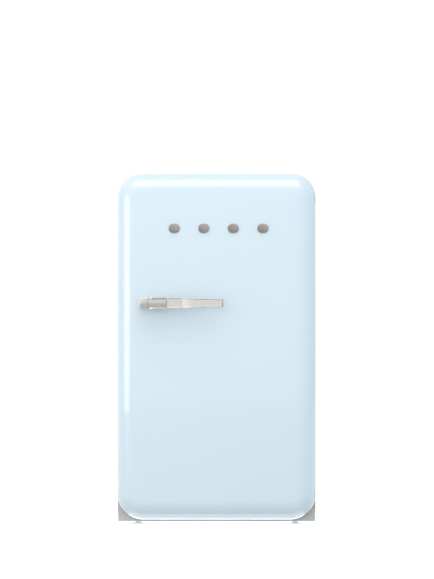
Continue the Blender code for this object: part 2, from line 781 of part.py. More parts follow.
def compressor():
    """Sealed compressor, its bracket, rubber strips and terminals; returns its centre and foot height."""
    y = (NICHE_FRONT + CABINET_BACK) / 2
    floor = PLATE_Z + PLATE + GAP
    low = floor + RUBBER + GAP + BRACKET + GAP
    r, h = COMPRESSOR_RADIUS, COMPRESSOR_HEIGHT
    flare = WELD_FLARE * r
    profile = [(0.6 * r, low), (0.93 * r, low + 0.1 * h), (r, low + 0.25 * h), (r, low + 0.5 * h)]
    profile += [(flare, low + 0.5 * h), (flare, low + 0.54 * h), (r, low + 0.54 * h)]
    profile += [(0.97 * r, low + 0.75 * h), (0.8 * r, low + 0.92 * h), (0.45 * r, low + h)]
    x = COMPRESSOR_X
    add("compressor", turned((x, y), profile), "black_enamel")
    half = r + BRACKET_MARGIN
    plate_z = (floor + RUBBER + GAP, floor + RUBBER + GAP + BRACKET)
    add("compressor_bracket", box((x - half, x + half), (y - r, y + r), plate_z), "zinc_steel")
    for name, side in (("left", -1), ("right", 1)):
        strip_x = sorted((x + side * half, x + side * (half - RUBBER_WIDTH)))
        strip = box(strip_x, (y - 0.8 * r, y + 0.8 * r), (floor, floor + RUBBER))
        add("compressor_mount_" + name, strip, "black_rubber")
    right = x - flare - GAP
    left = right - TERMINAL_SIZE
    cover_z = (low + 0.25 * h, low + 0.75 * h)
    cover = box((left, right), (y - TERMINAL_SIZE, y + TERMINAL_SIZE), cover_z)
    add("terminal_cover", cover, "black_enamel")
    gland_z = (cover_z[0] + cover_z[1]) / 2
    shape = rod((left - GAP, y, gland_z), (-1, 0, 0), GLAND_RADIUS, GLAND_LENGTH)
    gland = add("cord_gland", shape, "black_rubber")
    bore = rod((left + RUBBER, y, gland_z), (-1, 0, 0), GLAND_BORE, TERMINAL_SIZE)
    cut(gland, add("gland_bore", bore, None))
    return x, y, low


def cooling_lines(x, y, low):
    """Discharge tube, filter drier, suction tube, and the tray over the compressor."""
    h = COMPRESSOR_HEIGHT
    flare = WELD_FLARE * COMPRESSOR_RADIUS
    roof = NICHE_TOP - SHEET - GAP
    drier = (x - flare - DRIER_REACH, y + DRIER_BACK, low + 0.35 * h)
    add("filter_drier", rod(drier, (0, 0, 1), DRIER_RADIUS, DRIER_LENGTH), "copper")
    rise = flare + TUBE + GAP
    run = [(x, y + rise, low + 0.3 * h), (x - RUBBER_WIDTH, y + rise, low + 0.16 * h)]
    run += [(drier[0] + 5 * TUBE, drier[1], low + 0.16 * h), (drier[0], drier[1], low + 0.2 * h)]
    run += [(drier[0], drier[1], drier[2] - GAP)]
    pipe("discharge_tube", run, TUBE, "copper")
    out = x + rise + TUBE_STEP
    lift = [(x + rise, y, low + 0.3 * h), (out, y, low + 0.45 * h), (out, y, roof)]
    pipe("suction_tube", lift, TUBE, "copper")
    tray_z = (roof - TRAY_GAP - TRAY_HEIGHT, roof - TRAY_GAP)
    reach, depth = TRAY_HALF
    tray("evaporation_tray", "black_enamel", (x - reach, x + reach), (y - depth, y + depth), tray_z, BIN_WALL)


def drain(panels):
    """The defrost drain from the step of the liner down to the tray."""
    x, y = COMPRESSOR_X, (STEP_FRONT + CAVITY_BACK) / 2 + DRAIN_BACK
    low = NICHE_TOP - SHEET - DRAIN_DROP
    top = STEP_TOP - LINER - GAP
    tube = add("drain_tube", rod((x, y, low), (0, 0, 1), DRAIN_RADIUS, top - low), "grey_plastic")
    cut(tube, add("drain_bore", rod((x, y, 0.0), (0, 0, 1), DRAIN_BORE, FAR), None))
    start = low - DRAIN_RADIUS
    for panel in panels:
        hole = rod((x, y, start), (0, 0, 1), DRAIN_RADIUS + GAP, top + GAP - start)
        cut(panel, add("drain_hole_" + panel.name, hole, None))


def feet():
    """Two front feet that screw up and down, two fixed rear feet, and two spacers against the wall."""
    for name, side in (("left", -1), ("right", 1)):
        centre = foot_centre(side, True)
        pad = rod(centre, (0, 0, 1), FOOT_RADIUS, PAD_HEIGHT, 24)
        pad = add("front_foot_" + name, pad, "white_plastic", centre)
        stem = rod((centre[0], centre[1], PAD_HEIGHT / 2), (0, 0, 1), FOOT_STEM, PLATE_Z + STEM_RISE)
        join(pad, add("stem_" + name, stem, None))
        rear = foot_centre(side, False)
        profile = [(0.8 * FOOT_RADIUS, 0.0), (FOOT_RADIUS, FOOT_CHAMFER), (FOOT_RADIUS, PLATE_Z - GAP)]
        add("rear_foot_" + name, turned(rear, profile), "black_rubber")
        x = (rear[0] - SPACER_HALF, rear[0] + SPACER_HALF)
        spacer = box(x, (CABINET_BACK + GAP, DEPTH / 2), (CAVITY_TOP - SPACER_HEIGHT, CAVITY_TOP))
        add("rear_spacer_" + name, spacer, "grey_plastic")


def shelves():
    half = CAVITY_HALF - SHELF_SIDE_GAP
    y = (SHELF_FRONT, CAVITY_BACK - SHELF_SIDE_GAP)
    rows = (("crisper_cover_glass", CRISPER_COVER_Z), ("glass_shelf_middle", MIDDLE_SHELF_Z))
    rows += (("glass_shelf_upper", UPPER_SHELF_Z),)
    for name, z in rows:
        add(name, box((-half, half), y, (z, z + GLASS)), "glass")


def crisper_bin():
    half = CAVITY_HALF - BIN_SIDE_GAP
    y = (CABINET_FRONT + BIN_SETBACK, STEP_FRONT - SHELF_SIDE_GAP - LINER)
    z = (FLOOR_Z + GAP, FLOOR_Z + GAP + BIN_HEIGHT)
    return tray("crisper_bin", "clear_plastic", (-half, half), y, z, BIN_WALL, (0.0, y[0], z[0]))


def ice_box():
    """The roll-bonded sleeve that is also the evaporator, its front frame and its flap."""
    half = CAVITY_HALF - ICE_SIDE_GAP
    top = CAVITY_TOP - GAP
    y = (ICE_FRONT, CAVITY_BACK - RIB / 2)
    sleeve = add("ice_box", box((-half, half), y, (ICE_BOTTOM, top)), "aluminium")
    wall = ICE_SHEET
    inside = box((wall - half, half - wall), (y[0] - FAR, y[1] - wall), (ICE_BOTTOM + wall, top - wall))
    cut(sleeve, add("ice_inside", inside, None))
    face = (ICE_FRONT - GAP - ICE_FRAME, ICE_FRONT - GAP)
    wide = CAVITY_HALF - SHELF_SIDE_GAP
    frame = add("ice_box_frame", box((-wide, wide), face, (ICE_BOTTOM - RIB, top)), "white_plastic")
    edge = ICE_FRAME
    hole = box((edge - half, half - edge), (-FAR, FAR), (ICE_BOTTOM + edge / 2, top - edge))
    cut(frame, add("frame_hole", hole, None))
    pivot_y = face[0] - GAP - FLAP_DEPTH / 2
    pivot_z = top - FLAP_DROP
    ear_x = half - SHEET
    block = EAR_BLOCK_HALF
    for side in (-1, 1):
        x = sorted((side * ear_x, side * (ear_x + EAR_BLOCK)))
        ear = box(x, (pivot_y - block, face[0] + EAR_BLOCK), (pivot_z - block, pivot_z + block))
        join(frame, add("ear_%+d" % side, ear, None))
    bore = rod((-FAR / 2, pivot_y, pivot_z), (1, 0, 0), FLAP_PIN + RUNNING, FAR)
    cut(frame, add("ear_bore", bore, None))
    ice_flap(ear_x, pivot_y, pivot_z)


def ice_flap(ear_x, pivot_y, pivot_z):
    half = ear_x - SHEET
    radius = FLAP_DEPTH / 2
    section = arc((pivot_y, pivot_z), (radius, radius), 0, 180, 6)
    section += [(pivot_y - radius, pivot_z - FLAP_HEIGHT), (pivot_y + radius, pivot_z - FLAP_HEIGHT)]
    flap = add("ice_box_flap", prism_x(section, (-half, half)), "white_plastic", (0.0, pivot_y, pivot_z))
    reach = ear_x + EAR_BLOCK - SHEET / 2
    pin = rod((-reach, pivot_y, pivot_z), (1, 0, 0), FLAP_PIN, 2 * reach)
    join(flap, add("flap_pin", pin, None))


def thermostat():
    """Control housing on the right-hand wall, its knob, and the lamp under a clear cover."""
    wall = CAVITY_HALF - GAP
    z = ICE_BOTTOM - CONTROL_DROP
    front = CABINET_FRONT + CONTROL_SETBACK
    back = front + CONTROL_LENGTH
    inner = wall - CONTROL_DEPTH
    housing = box((inner, wall), (front, back), (z - CONTROL_HALF, z + CONTROL_HALF))
    add("thermostat_housing", housing, "white_plastic")
    knob_y = front + KNOB_SETBACK
    knob = rod((inner - GAP, knob_y, z), (-1, 0, 0), KNOB_RADIUS, KNOB_DEPTH, 20)
    knob = add("thermostat_knob", knob, "grey_plastic", (inner, knob_y, z))
    out, thick, tall = GRIP
    grip_x = (inner - out, inner - KNOB_DEPTH + EAR_BLOCK)
    grip = box(grip_x, (knob_y - thick, knob_y + thick), (z - tall, z + tall))
    join(knob, add("knob_grip", grip, None))
    cover_y = (front + COVER_SETBACK, back - COVER_MARGIN)
    cover = box((inner - COVER_DEPTH, inner - GAP), cover_y, (z - COVER_HALF, z + COVER_HALF))
    cover = add("lamp_cover", cover, "clear_plastic")
    thin = COVER_WALL
    tall = COVER_HALF - thin
    inside_y = (cover_y[0] + thin, cover_y[1] - thin)
    room = box((inner - COVER_DEPTH + thin, inner + COVER_MARGIN), inside_y, (z - tall, z + tall))
    cut(cover, add("cover_inside", room, None))
    start = (inner - LAMP_DEPTH, cover_y[0] + KNOB_DEPTH - EAR_BLOCK, z)
    add("lamp", rod(start, (0, 1, 0), LAMP_RADIUS, LAMP_LENGTH, 12), "glass")


def door_switch():
    """The lamp's switch: a body on the wall and a plunger that the closed door holds in."""
    wall = CAVITY_HALF - GAP
    x = DYKE_HALF - DYKE_WIDTH / 2
    z = ICE_BOTTOM - SWITCH_DROP
    front = CABINET_FRONT + SWITCH_SETBACK
    back = front + SWITCH_LENGTH
    shape = box((x - SWITCH_WALL, wall), (front, back), (z - SWITCH_HALF, z + SWITCH_HALF))
    body = add("switch_body", shape, "white_plastic")
    bore = rod((x, front - RIB, z), (0, 1, 0), PIN_RADIUS + 2 * RUNNING, SWITCH_LENGTH - 0.25 * RIB)
    cut(body, add("switch_bore", bore, None))
    tip = (x, DYKE_Y + GAP, z)
    add("switch_plunger", rod(tip, (0, 1, 0), PIN_RADIUS, PLUNGER_LENGTH), "grey_plastic", tip)


def handle():
    """Base block bolted to the door, lever that straddles its tongue, and the pin through both."""
    z = HANDLE_Z
    back = CROWN_Y - GAP
    block_end = HANDLE_X + BLOCK_LENGTH
    half = BLOCK_HEIGHT / 2
    tongue_half = EAR_HEIGHT / 2 - EAR_WALL - GAP
    front = FRONT_Y + BLOCK_RECESS
    base = add("handle_base", box((HANDLE_X, block_end), (front, back), (z - half, z + half)), "satin_metal")
    tongue_x = (block_end - TONGUE_OVERLAP, block_end + WINDOW_END - TONGUE_OVERLAP)
    tongue = box(tongue_x, (FRONT_Y + TONGUE_RECESS, back), (z - tongue_half, z + tongue_half))
    join(base, add("handle_tongue", tongue, None))
    bore = rod((PIVOT_X, PIVOT_Y, z - FAR / 2), (0, 0, 1), HANDLE_PIN + GAP, FAR)
    cut(base, add("tongue_bore", bore, None))
    pin = rod((PIVOT_X, PIVOT_Y, z - EAR_HEIGHT / 2), (0, 0, 1), HANDLE_PIN, EAR_HEIGHT)
    pin = add("handle_pin", pin, "satin_metal", (PIVOT_X, PIVOT_Y, z))
    lever = handle_lever(z, block_end)
    hang("handle_axis", (PIVOT_X, PIVOT_Y, 0.0), (lever,))
    return base, pin


def handle_lever(z, block_end):
    """The lever: two ears round the pin, a window, then a tapering hollow bar up to the tip."""
    tip = HANDLE_X + HANDLE_LENGTH
    window = block_end + WINDOW_END
    side = arc((PIVOT_X, PIVOT_Y), (EAR_RADIUS, EAR_RADIUS), 90, 270, 10)
    side += [(tip, FRONT_Y), (tip, FRONT_Y + TIP_DEPTH)]
    ear, low = EAR_HEIGHT / 2, -EAR_HEIGHT / 2
    body = prism_z(side, (z + low, z + ear))
    lever = add("handle_lever", body, "satin_metal", (PIVOT_X, PIVOT_Y, z))
    half_tip = TIP_HEIGHT / 2
    plan = [(block_end - RIB, z + low), (window, z + low), (tip + GAP, z - half_tip)]
    plan += [(tip + GAP, z + half_tip), (window, z + ear), (block_end - RIB, z + ear)]
    shape = prism_y(plan, (FRONT_Y - RIB, PIVOT_Y + 2 * EAR_RADIUS))
    combine(lever, add("lever_plan", shape, None), "INTERSECT")
    inner = ear - EAR_WALL
    window_y = (FRONT_Y - RIB, PIVOT_Y + RIB + EAR_RADIUS)
    opening = box((block_end - RIB, window), window_y, (z - inner, z + inner))
    end = tip - EAR_WALL
    small = half_tip - EAR_WALL
    hollow = [(window - RIB, z - inner), (end, z - small), (end, z + small), (window - RIB, z + inner)]
    room = prism_y(hollow, (FRONT_Y + WEB, PIVOT_Y + EAR_RADIUS + RIB))
    bore = rod((PIVOT_X, PIVOT_Y, z - FAR / 2), (0, 0, 1), HANDLE_PIN + GAP, FAR)
    cut(lever, add("lever_window", opening, None), add("lever_hollow", room, None))
    cut(lever, add("lever_bore", bore, None))
    return lever


def badge():
    """Four plain rounded ornaments in a row on the door."""
    width, height, depth = BADGE_SIZE
    made = []
    back = CROWN_Y - GAP
    for i in range(BADGE_COUNT):
        x = BADGE_SHIFT + (i - (BADGE_COUNT - 1) / 2) * BADGE_PITCH
        radius = height / 2
        points = arc((width / 2 - radius, 0), (radius, radius), -90, 90, 6)
        points += arc((radius - width / 2, 0), (radius, radius), 90, 270, 6)
        plan = [(x + a, BADGE_Z + b) for a, b in points]
        made.append(add("badge_%d" % (i + 1), prism_y(plan, (back - depth, back)), "satin_metal"))
    return made


def hang(axis_name, point, pieces):
    """Parents moving pieces to an empty on their joint's axis."""
    empty = bpy.data.objects.new(axis_name, None)
    empty.location = point
    bpy.context.collection.objects.link(empty)
    for piece in pieces:
        piece.parent = empty
        piece.location = piece.location - Vector(point)


def build():
    for old in list(bpy.data.objects):
        bpy.data.objects.remove(old, do_unlink=True)
    skin, liner, foam, gasket = door_skin(), door_liner(), door_foam(), door_gasket()
    bushes = hinges(skin, liner, foam)
    cabinet_shell()
    rear_panel()
    base_plate()
    panel = niche_panel()
    bottom_rail()
    plinth_cover()
    tub, insulation = inner_liner(), foam_insulation()
    coil("condenser_left", -1)
    coil("condenser_right", 1)
    cooling_lines(*compressor())
    drain((tub, insulation, panel))
    feet()
    shelves()
    crisper_bin()
    ice_box()
    thermostat()
    door_switch()
    door_parts = [skin, liner, foam, gasket, *bushes, *balconies(), *badge(), *handle()]
    hang("door_axis", (HINGE_X, HINGE_Y, 0.0), door_parts)


build()
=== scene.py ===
"""Visual model of a compact retro refrigerator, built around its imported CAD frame."""

import json
import math

import bmesh
import bpy
from mathutils import Matrix, Vector


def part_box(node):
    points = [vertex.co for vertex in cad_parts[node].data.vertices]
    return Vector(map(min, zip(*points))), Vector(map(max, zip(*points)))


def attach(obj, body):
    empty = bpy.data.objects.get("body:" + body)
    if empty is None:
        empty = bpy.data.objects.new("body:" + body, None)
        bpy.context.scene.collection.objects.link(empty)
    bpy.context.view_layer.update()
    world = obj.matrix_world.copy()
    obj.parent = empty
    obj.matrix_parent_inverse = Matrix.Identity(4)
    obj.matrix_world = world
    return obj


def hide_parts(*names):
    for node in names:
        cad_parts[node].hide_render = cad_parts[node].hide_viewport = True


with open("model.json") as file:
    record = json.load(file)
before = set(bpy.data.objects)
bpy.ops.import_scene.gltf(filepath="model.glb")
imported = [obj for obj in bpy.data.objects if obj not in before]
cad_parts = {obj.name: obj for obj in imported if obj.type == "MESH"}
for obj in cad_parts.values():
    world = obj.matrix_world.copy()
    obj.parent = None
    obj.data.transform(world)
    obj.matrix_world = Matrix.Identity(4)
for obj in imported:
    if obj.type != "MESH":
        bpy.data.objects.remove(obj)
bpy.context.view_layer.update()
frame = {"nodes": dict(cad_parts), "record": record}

NODES = frame["nodes"]

# ---------------------------------------------------------------- sizes read from the frame
SKIN_LOW, SKIN_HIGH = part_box("door_skin")
SHELL_LOW, SHELL_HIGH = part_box("cabinet_shell")
LINER_LOW, LINER_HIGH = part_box("inner_liner")
GASKET_LOW, GASKET_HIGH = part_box("door_gasket")
HANDLE_LOW, HANDLE_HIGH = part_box("handle_base")
LEVER_LOW, LEVER_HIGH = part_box("handle_lever")
CRISPER_LOW, CRISPER_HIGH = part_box("crisper_bin")
ICE_LOW, ICE_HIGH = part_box("ice_box")
FLAP_LOW, FLAP_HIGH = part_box("ice_box_flap")
HOUSING_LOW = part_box("thermostat_housing")[0]
KNOB_LOW, KNOB_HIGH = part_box("thermostat_knob")
GAP = 0.0003
TINY = 1e-5

# ---------------------------------------------------------------- door and cabinet sizes, in metres
DOOR_HALF = SKIN_HIGH.x
DOOR_TOP = 0.960
DOOR_BOTTOM = SKIN_LOW.z
CROWN_Y = SKIN_LOW.y
DOOR_BACK = SKIN_HIGH.y
TOP_RADIUS = 0.062
FOOT_RADII = (0.072, 0.070)
ROLL_WIDTH = 0.052
ROLL_DEPTH = 0.044
ROLL_STEPS = 18
CROWN = 0.001
CROWN_REACH = 0.2
CROWN_STEPS = 8
SIDE_BOW = 0.0011
TOP_BOW = 0.0020
WIDEST_Z = 0.300
SKIN_SHEET = 0.0008
HEM = 0.012
SLOT_HALF = 0.010
SLOT_WALL = 0.0006
PAST = 0.05
CABINET_FRONT = SHELL_LOW.y
CABINET_BACK = SHELL_HIGH.y
CABINET_HALF = SHELL_HIGH.x
CABINET_TOP = DOOR_TOP - 0.001
CABINET_BOTTOM = SHELL_LOW.z
CABINET_SHEET = 0.001
SIDE_WALL = 0.045
LINER_MARGIN = 0.015
CAVITY_HALF = DOOR_HALF - SIDE_WALL
CAVITY_TOP = LINER_HIGH.z - LINER_MARGIN
CAVITY_FLOOR = LINER_LOW.z + LINER_MARGIN
CAVITY_BACK = LINER_HIGH.y - 0.002
STEP_FRONT = 0.100
STEP_TOP = 0.235
DRAIN_PLACE = (0.105, 0.2225, STEP_TOP)
SHELVES = ("crisper_cover_glass", "glass_shelf_middle", "glass_shelf_upper")
BALCONIES = {"balcony_upper": "rail_upper", "balcony_middle": "rail_middle", "bottle_shelf": "rail_bottle"}
HINGES = ("lower", "upper")
BADGE_COUNT = 4
DIAL_START = -30
DIAL_STEP = 24
DIAL_RADIUS = 0.0242

# ---------------------------------------------------------------- handle sizes
HANDLE_Z = (LEVER_LOW.z + LEVER_HIGH.z) / 2
EAR_RADIUS = 0.013
PIVOT = (LEVER_LOW.x + EAR_RADIUS, LEVER_LOW.y + EAR_RADIUS)
BLOCK_END = LEVER_LOW.x - GAP
WINDOW_END = BLOCK_END + 0.0512
EAR_HALF = 0.0165
EAR_WALL = 0.0045
EAR_DEPTH = 0.0215
TONGUE_DROP = 0.006
TONGUE_GAP = 0.0017
GROOVE = (BLOCK_END - 0.0014, BLOCK_END + 0.0005)
GROOVE_DEPTH = 0.018
TIP_HALF = 0.0102
TIP_DEPTH = 0.012
TIP_LENGTH = 0.0034
FLAT_Y = LEVER_LOW.y + 0.0042
LEVER_WALL = 0.003
ROOT = 0.004
CREASE_X = -0.0935
RECESS = 0.0016
BORDERS = (0.0037, 0.0024)
PIN_RADIUS = 0.0029

# ---------------------------------------------------------------- light and camera
# painted shade: the darkest scale of the base colour on metal faces that look down
SHADE_BELOW = 0.55
# painted highlight on the lever bar past its crease: how much lighter, and over what reach
SHEEN = 0.20
SHEEN_REACH = (0.003, 0.030)
FLOOR_HALF = 30.0
FLOOR_SHADE = 0.20
FLOOR_DIM = 0.45
FLOOR_FRONT = 0.38
FLOOR_GLOW = 0.98
FLOOR_CHANGE = (-0.30, -0.12)
TABLE_GLOW = 2.25
TABLE_CORNERS = ((-0.262, -0.255), (0.262, -0.255), (0.262, 0.20), (-0.262, 0.20))
TABLE_LIFT = 0.0004
SKY = 1.05
SKY_LEAN = 0.24
SKY_MIDDLE = 0.62
SKY_SIDE = 1.00
WHITE = (1.0, 1.0, 1.0)
WARM = (1.0, 0.975, 0.95)
COOL = (0.45, 0.80, 1.0)
TOP_EDGE = (0.0, -0.25, 0.94)
LEFT_EDGE = (-0.23, -0.25, 0.635)
RIGHT_EDGE = (0.23, -0.25, 0.635)
DOOR_MIDDLE = (0.0, -0.25, 0.5)
CAMERA_DISTANCE = 30.0
CAMERA_PLANE = -0.205
CAMERA_X = 0.00096
CAMERA_Z = 0.643
VIEW_HEIGHT = 1.585
SENSOR = 36.0
FAR_CLIP = 100.0


# ---------------------------------------------------------------- materials
def tree_of(name):
    """A new material with its tree and shader."""
    made = bpy.data.materials.new(name)
    made.use_nodes = True
    tree = made.node_tree
    return made, tree, tree.nodes["Principled BSDF"]


def node(tree, kind, **values):
    """Adds a shader node; values set its attributes or, failing that, its inputs."""
    made = tree.nodes.new(kind)
    for key, value in values.items():
        if hasattr(made, key):
            setattr(made, key, value)
        else:
            made.inputs[key.replace("_", " ")].default_value = value
    return made


def coordinates(tree, stretch=(1.0, 1.0, 1.0)):
    """The piece's own coordinates in metres, stretched along its axes."""
    source = node(tree, "ShaderNodeTexCoord")
    mapping = node(tree, "ShaderNodeMapping")
    mapping.inputs["Scale"].default_value = stretch
    tree.links.new(source.outputs["Object"], mapping.inputs["Vector"])
    return mapping.outputs["Vector"]


def noise(tree, vector, scale, detail=3.0):
    made = node(tree, "ShaderNodeTexNoise", Scale=scale, Detail=detail, Roughness=0.5)
    tree.links.new(vector, made.inputs["Vector"])
    return made.outputs["Fac"]


def ranged(tree, value, low, high, source=(0.3, 0.7)):
    """The value's source limits stretched to low and high."""
    made = node(tree, "ShaderNodeMapRange")
    made.inputs["From Min"].default_value = source[0]
    made.inputs["From Max"].default_value = source[1]
    made.inputs["To Min"].default_value = low
    made.inputs["To Max"].default_value = high
    tree.links.new(value, made.inputs["Value"])
    return made.outputs["Result"]


def blended(tree, factor, first, second):
    """A colour between two, by a factor."""
    made = node(tree, "ShaderNodeMix", data_type="RGBA")
    made.inputs[6].default_value = (*first, 1.0)
    made.inputs[7].default_value = (*second, 1.0)
    tree.links.new(factor, made.inputs[0])
    return made.outputs[2]


def bumped(tree, shader, height, distance):
    """Relief of a depth in metres."""
    made = node(tree, "ShaderNodeBump", Strength=1.0, Distance=distance)
    tree.links.new(height, made.inputs["Height"])
    tree.links.new(made.outputs["Normal"], shader.inputs["Normal"])


def settled(shader, values):
    """Constants on the shader's sockets; an underscore stands for a space."""
    for key, value in values.items():
        shader.inputs[key.replace("_", " ")].default_value = value


def moulded(name, light, dark, rough, grain, depth, patch=14.0, stretch=(1, 1, 1), **sockets):
    """A surface whose colour, roughness and height all vary a little, at two scales."""
    made, tree, shader = tree_of(name)
    place = coordinates(tree, stretch)
    broad = noise(tree, place, patch, 4.0)
    fine = noise(tree, place, grain, 2.0)
    tree.links.new(blended(tree, ranged(tree, broad, 0.0, 1.0), light, dark), shader.inputs["Base Color"])
    tree.links.new(ranged(tree, fine, *rough), shader.inputs["Roughness"])
    bumped(tree, shader, fine, depth)
    settled(shader, sockets)
    return made


def toned(made, level):
    """The material's base colour scaled by a value of its tree."""
    tree = made.node_tree
    shader = tree.nodes["Principled BSDF"]
    source = shader.inputs["Base Color"].links[0].from_socket
    scaled = node(tree, "ShaderNodeVectorMath", operation="SCALE")
    tree.links.new(level, scaled.inputs["Scale"])
    tree.links.new(source, scaled.inputs[0])
    tree.links.new(scaled.outputs["Vector"], shader.inputs["Base Color"])


def shaded_below(made):
    """A metal whose base colour is painted darker where its surface looks down: painted shade."""
    tree = made.node_tree
    facing = node(tree, "ShaderNodeNewGeometry")
    axes = node(tree, "ShaderNodeSeparateXYZ")
    tree.links.new(facing.outputs["Normal"], axes.inputs["Vector"])
    toned(made, ranged(tree, axes.outputs["Z"], SHADE_BELOW, 1.0, (-0.75, -0.10)))


def creased(made):
    """A painted highlight: the bar's base colour made lighter just past its crease."""
    tree = made.node_tree
    axes = node(tree, "ShaderNodeSeparateXYZ")
    tree.links.new(coordinates(tree), axes.inputs["Vector"])
    along = axes.outputs["X"]
    gain = node(tree, "ShaderNodeMath", operation="MULTIPLY_ADD")
    tree.links.new(ranged(tree, along, 0.0, 1.0, (CREASE_X - GAP, CREASE_X + GAP)), gain.inputs[0])
    near, far = SHEEN_REACH
    tree.links.new(ranged(tree, along, SHEEN, 0.0, (CREASE_X + near, CREASE_X + far)), gain.inputs[1])
    gain.inputs[2].default_value = 1.0
    toned(made, gain.outputs[0])


def zinc_steel():
    """Galvanised sheet: crystals of slightly different greys."""
    made, tree, shader = tree_of("zinc_steel")
    place = coordinates(tree)
    cells = node(tree, "ShaderNodeTexVoronoi", Scale=150.0)
    tree.links.new(place, cells.inputs["Vector"])
    grey = node(tree, "ShaderNodeRGBToBW")
    tree.links.new(cells.outputs["Color"], grey.inputs["Color"])
    spangle = ranged(tree, grey.outputs["Val"], 0.0, 1.0, (0.2, 0.8))
    tree.links.new(blended(tree, spangle, (0.55, 0.56, 0.57), (0.61, 0.62, 0.63)), shader.inputs["Base Color"])
    tree.links.new(ranged(tree, spangle, 0.42, 0.50, (0.0, 1.0)), shader.inputs["Roughness"])
    shader.inputs["Metallic"].default_value = 1.0
    bumped(tree, shader, noise(tree, place, 300.0), 0.00003)
    return made


def clear(name, tint, rough, ior, weight, grain=60.0, depth=0.00003):
    """A see-through material with faint moulding waves."""
    made, tree, shader = tree_of(name)
    waves = noise(tree, coordinates(tree), grain)
    tree.links.new(ranged(tree, waves, *rough), shader.inputs["Roughness"])
    bumped(tree, shader, waves, depth)
    settled(shader, {"Base_Color": (*tint, 1.0), "Transmission_Weight": weight, "IOR": ior})
    return made


def lit_lamp():
    """Frosted glass with a faint warm glow."""
    made, tree, shader = tree_of("lamp_glass")
    frost = noise(tree, coordinates(tree), 90.0)
    tree.links.new(ranged(tree, frost, 0.25, 0.4), shader.inputs["Roughness"])
    settled(shader, {"Base_Color": (0.95, 0.93, 0.86, 1.0), "Emission_Color": (1.0, 0.93, 0.80, 1.0)})
    settled(shader, {"Emission_Strength": 0.6})
    return made


# lighter and darker colour, limits of the roughness, fineness and depth of the grain, other settings
BRUSHED = {"patch": 30.0, "stretch": (0.06, 1.0, 1.0), "Metallic": 1.0}
PAINT = {"patch": 3.0, "Coat_Weight": 1.0, "Coat_Roughness": 0.02, "Coat_IOR": 1.5, "Specular_IOR_Level": 0.35}
MILKY = {"patch": 6.0, "Subsurface_Weight": 0.05, "Subsurface_Scale": 0.004}
MOULDED = {
    "pastel_enamel": ((0.592, 0.712, 0.788), (0.584, 0.705, 0.782), (0.30, 0.36), 260.0, 0.00003, PAINT),
    "white_plastic": ((0.80, 0.82, 0.83), (0.77, 0.79, 0.805), (0.30, 0.42), 900.0, 0.00004, MILKY),
    "foot_white": ((0.93, 0.935, 0.94), (0.90, 0.905, 0.91), (0.40, 0.52), 700.0, 0.00004, {}),
    "grey_plastic": ((0.535, 0.535, 0.53), (0.49, 0.49, 0.485), (0.48, 0.66), 700.0, 0.00010, {}),
    "dark_plastic": ((0.10, 0.10, 0.105), (0.075, 0.075, 0.08), (0.40, 0.58), 800.0, 0.00008, {}),
    "grey_rubber": ((0.58, 0.59, 0.60), (0.53, 0.54, 0.55), (0.62, 0.80), 500.0, 0.00006, {}),
    "black_rubber": ((0.035, 0.035, 0.037), (0.022, 0.022, 0.024), (0.70, 0.92), 420.0, 0.00010, {}),
    "insulation": ((0.72, 0.62, 0.38), (0.62, 0.52, 0.30), (0.85, 0.95), 260.0, 0.0006, {}),
    "black_enamel": (
        (0.028, 0.028, 0.030), (0.018, 0.018, 0.020), (0.28, 0.42), 240.0, 0.00006,
        {"Coat_Weight": 0.4, "Coat_Roughness": 0.15},
    ),
    "satin_metal": ((0.80, 0.785, 0.760), (0.74, 0.725, 0.700), (0.20, 0.30), 900.0, 0.00002, BRUSHED),
    "lever_metal": ((0.80, 0.787, 0.762), (0.745, 0.73, 0.706), (0.20, 0.30), 900.0, 0.00002, BRUSHED),
    "mount_metal": ((0.68, 0.67, 0.65), (0.6324, 0.6231, 0.6045), (0.20, 0.30), 900.0, 0.00002, BRUSHED),
    # the lever's ears: the same brushed metal, rougher, with its base colour painted darker as painted shade
    "ear_metal_painted_darker": ((0.66, 0.65, 0.63), (0.6138, 0.6045, 0.5859), (0.46, 0.54), 900.0, 0.00002, BRUSHED),
    "dark_satin": (
        (0.40, 0.372, 0.352), (0.36, 0.335, 0.318), (0.26, 0.36), 700.0, 0.00002,
        {"stretch": (0.1, 1.0, 1.0), "Metallic": 1.0},
    ),
    "chrome": (
        (0.80, 0.80, 0.80), (0.76, 0.76, 0.765), (0.08, 0.14), 500.0, 0.000006,
        {"stretch": (0.05, 1.0, 1.0), "Metallic": 1.0},
    ),
    "aluminium": (
        (0.78, 0.79, 0.80), (0.70, 0.71, 0.725), (0.28, 0.44), 420.0, 0.00003,
        {"patch": 40.0, "stretch": (1.0, 0.05, 1.0), "Metallic": 1.0},
    ),
    "copper": (
        (0.76, 0.40, 0.26), (0.55, 0.27, 0.17), (0.22, 0.45), 160.0, 0.00003,
        {"patch": 60.0, "Metallic": 1.0},
    ),
}
LOOKS = {name: moulded(name, *row[:-1], **row[-1]) for name, row in MOULDED.items()}
LOOKS["zinc_steel"] = zinc_steel()
LOOKS["clear_plastic"] = clear("clear_plastic", (0.90, 0.96, 0.98), (0.03, 0.09), 1.49, 0.86)
LOOKS["glass"] = clear("glass", (0.86, 0.95, 0.93), (0.01, 0.04), 1.5, 0.80, 8.0, 0.000005)
LOOKS["lamp"] = lit_lamp()
# painted shade on the downward faces of satin_metal and lever_metal, and a painted highlight on lever_metal past
# its crease
shaded_below(LOOKS["satin_metal"])
shaded_below(LOOKS["lever_metal"])
creased(LOOKS["lever_metal"])


# ---------------------------------------------------------------- shape helpers
def arc(centre, radii, start, end, steps):
    """Pairs along part of an ellipse, between two angles in degrees."""
    points = []
    for i in range(steps + 1):
        angle = math.radians(start + (end - start) * i / steps)
        points.append((centre[0] + radii[0] * math.cos(angle), centre[1] + radii[1] * math.sin(angle)))
    return points


def between(start, end, spans):
    """The points strictly between two ends, at equal steps."""
    return [tuple(Vector(start).lerp(Vector(end), i / spans)) for i in range(1, spans)]


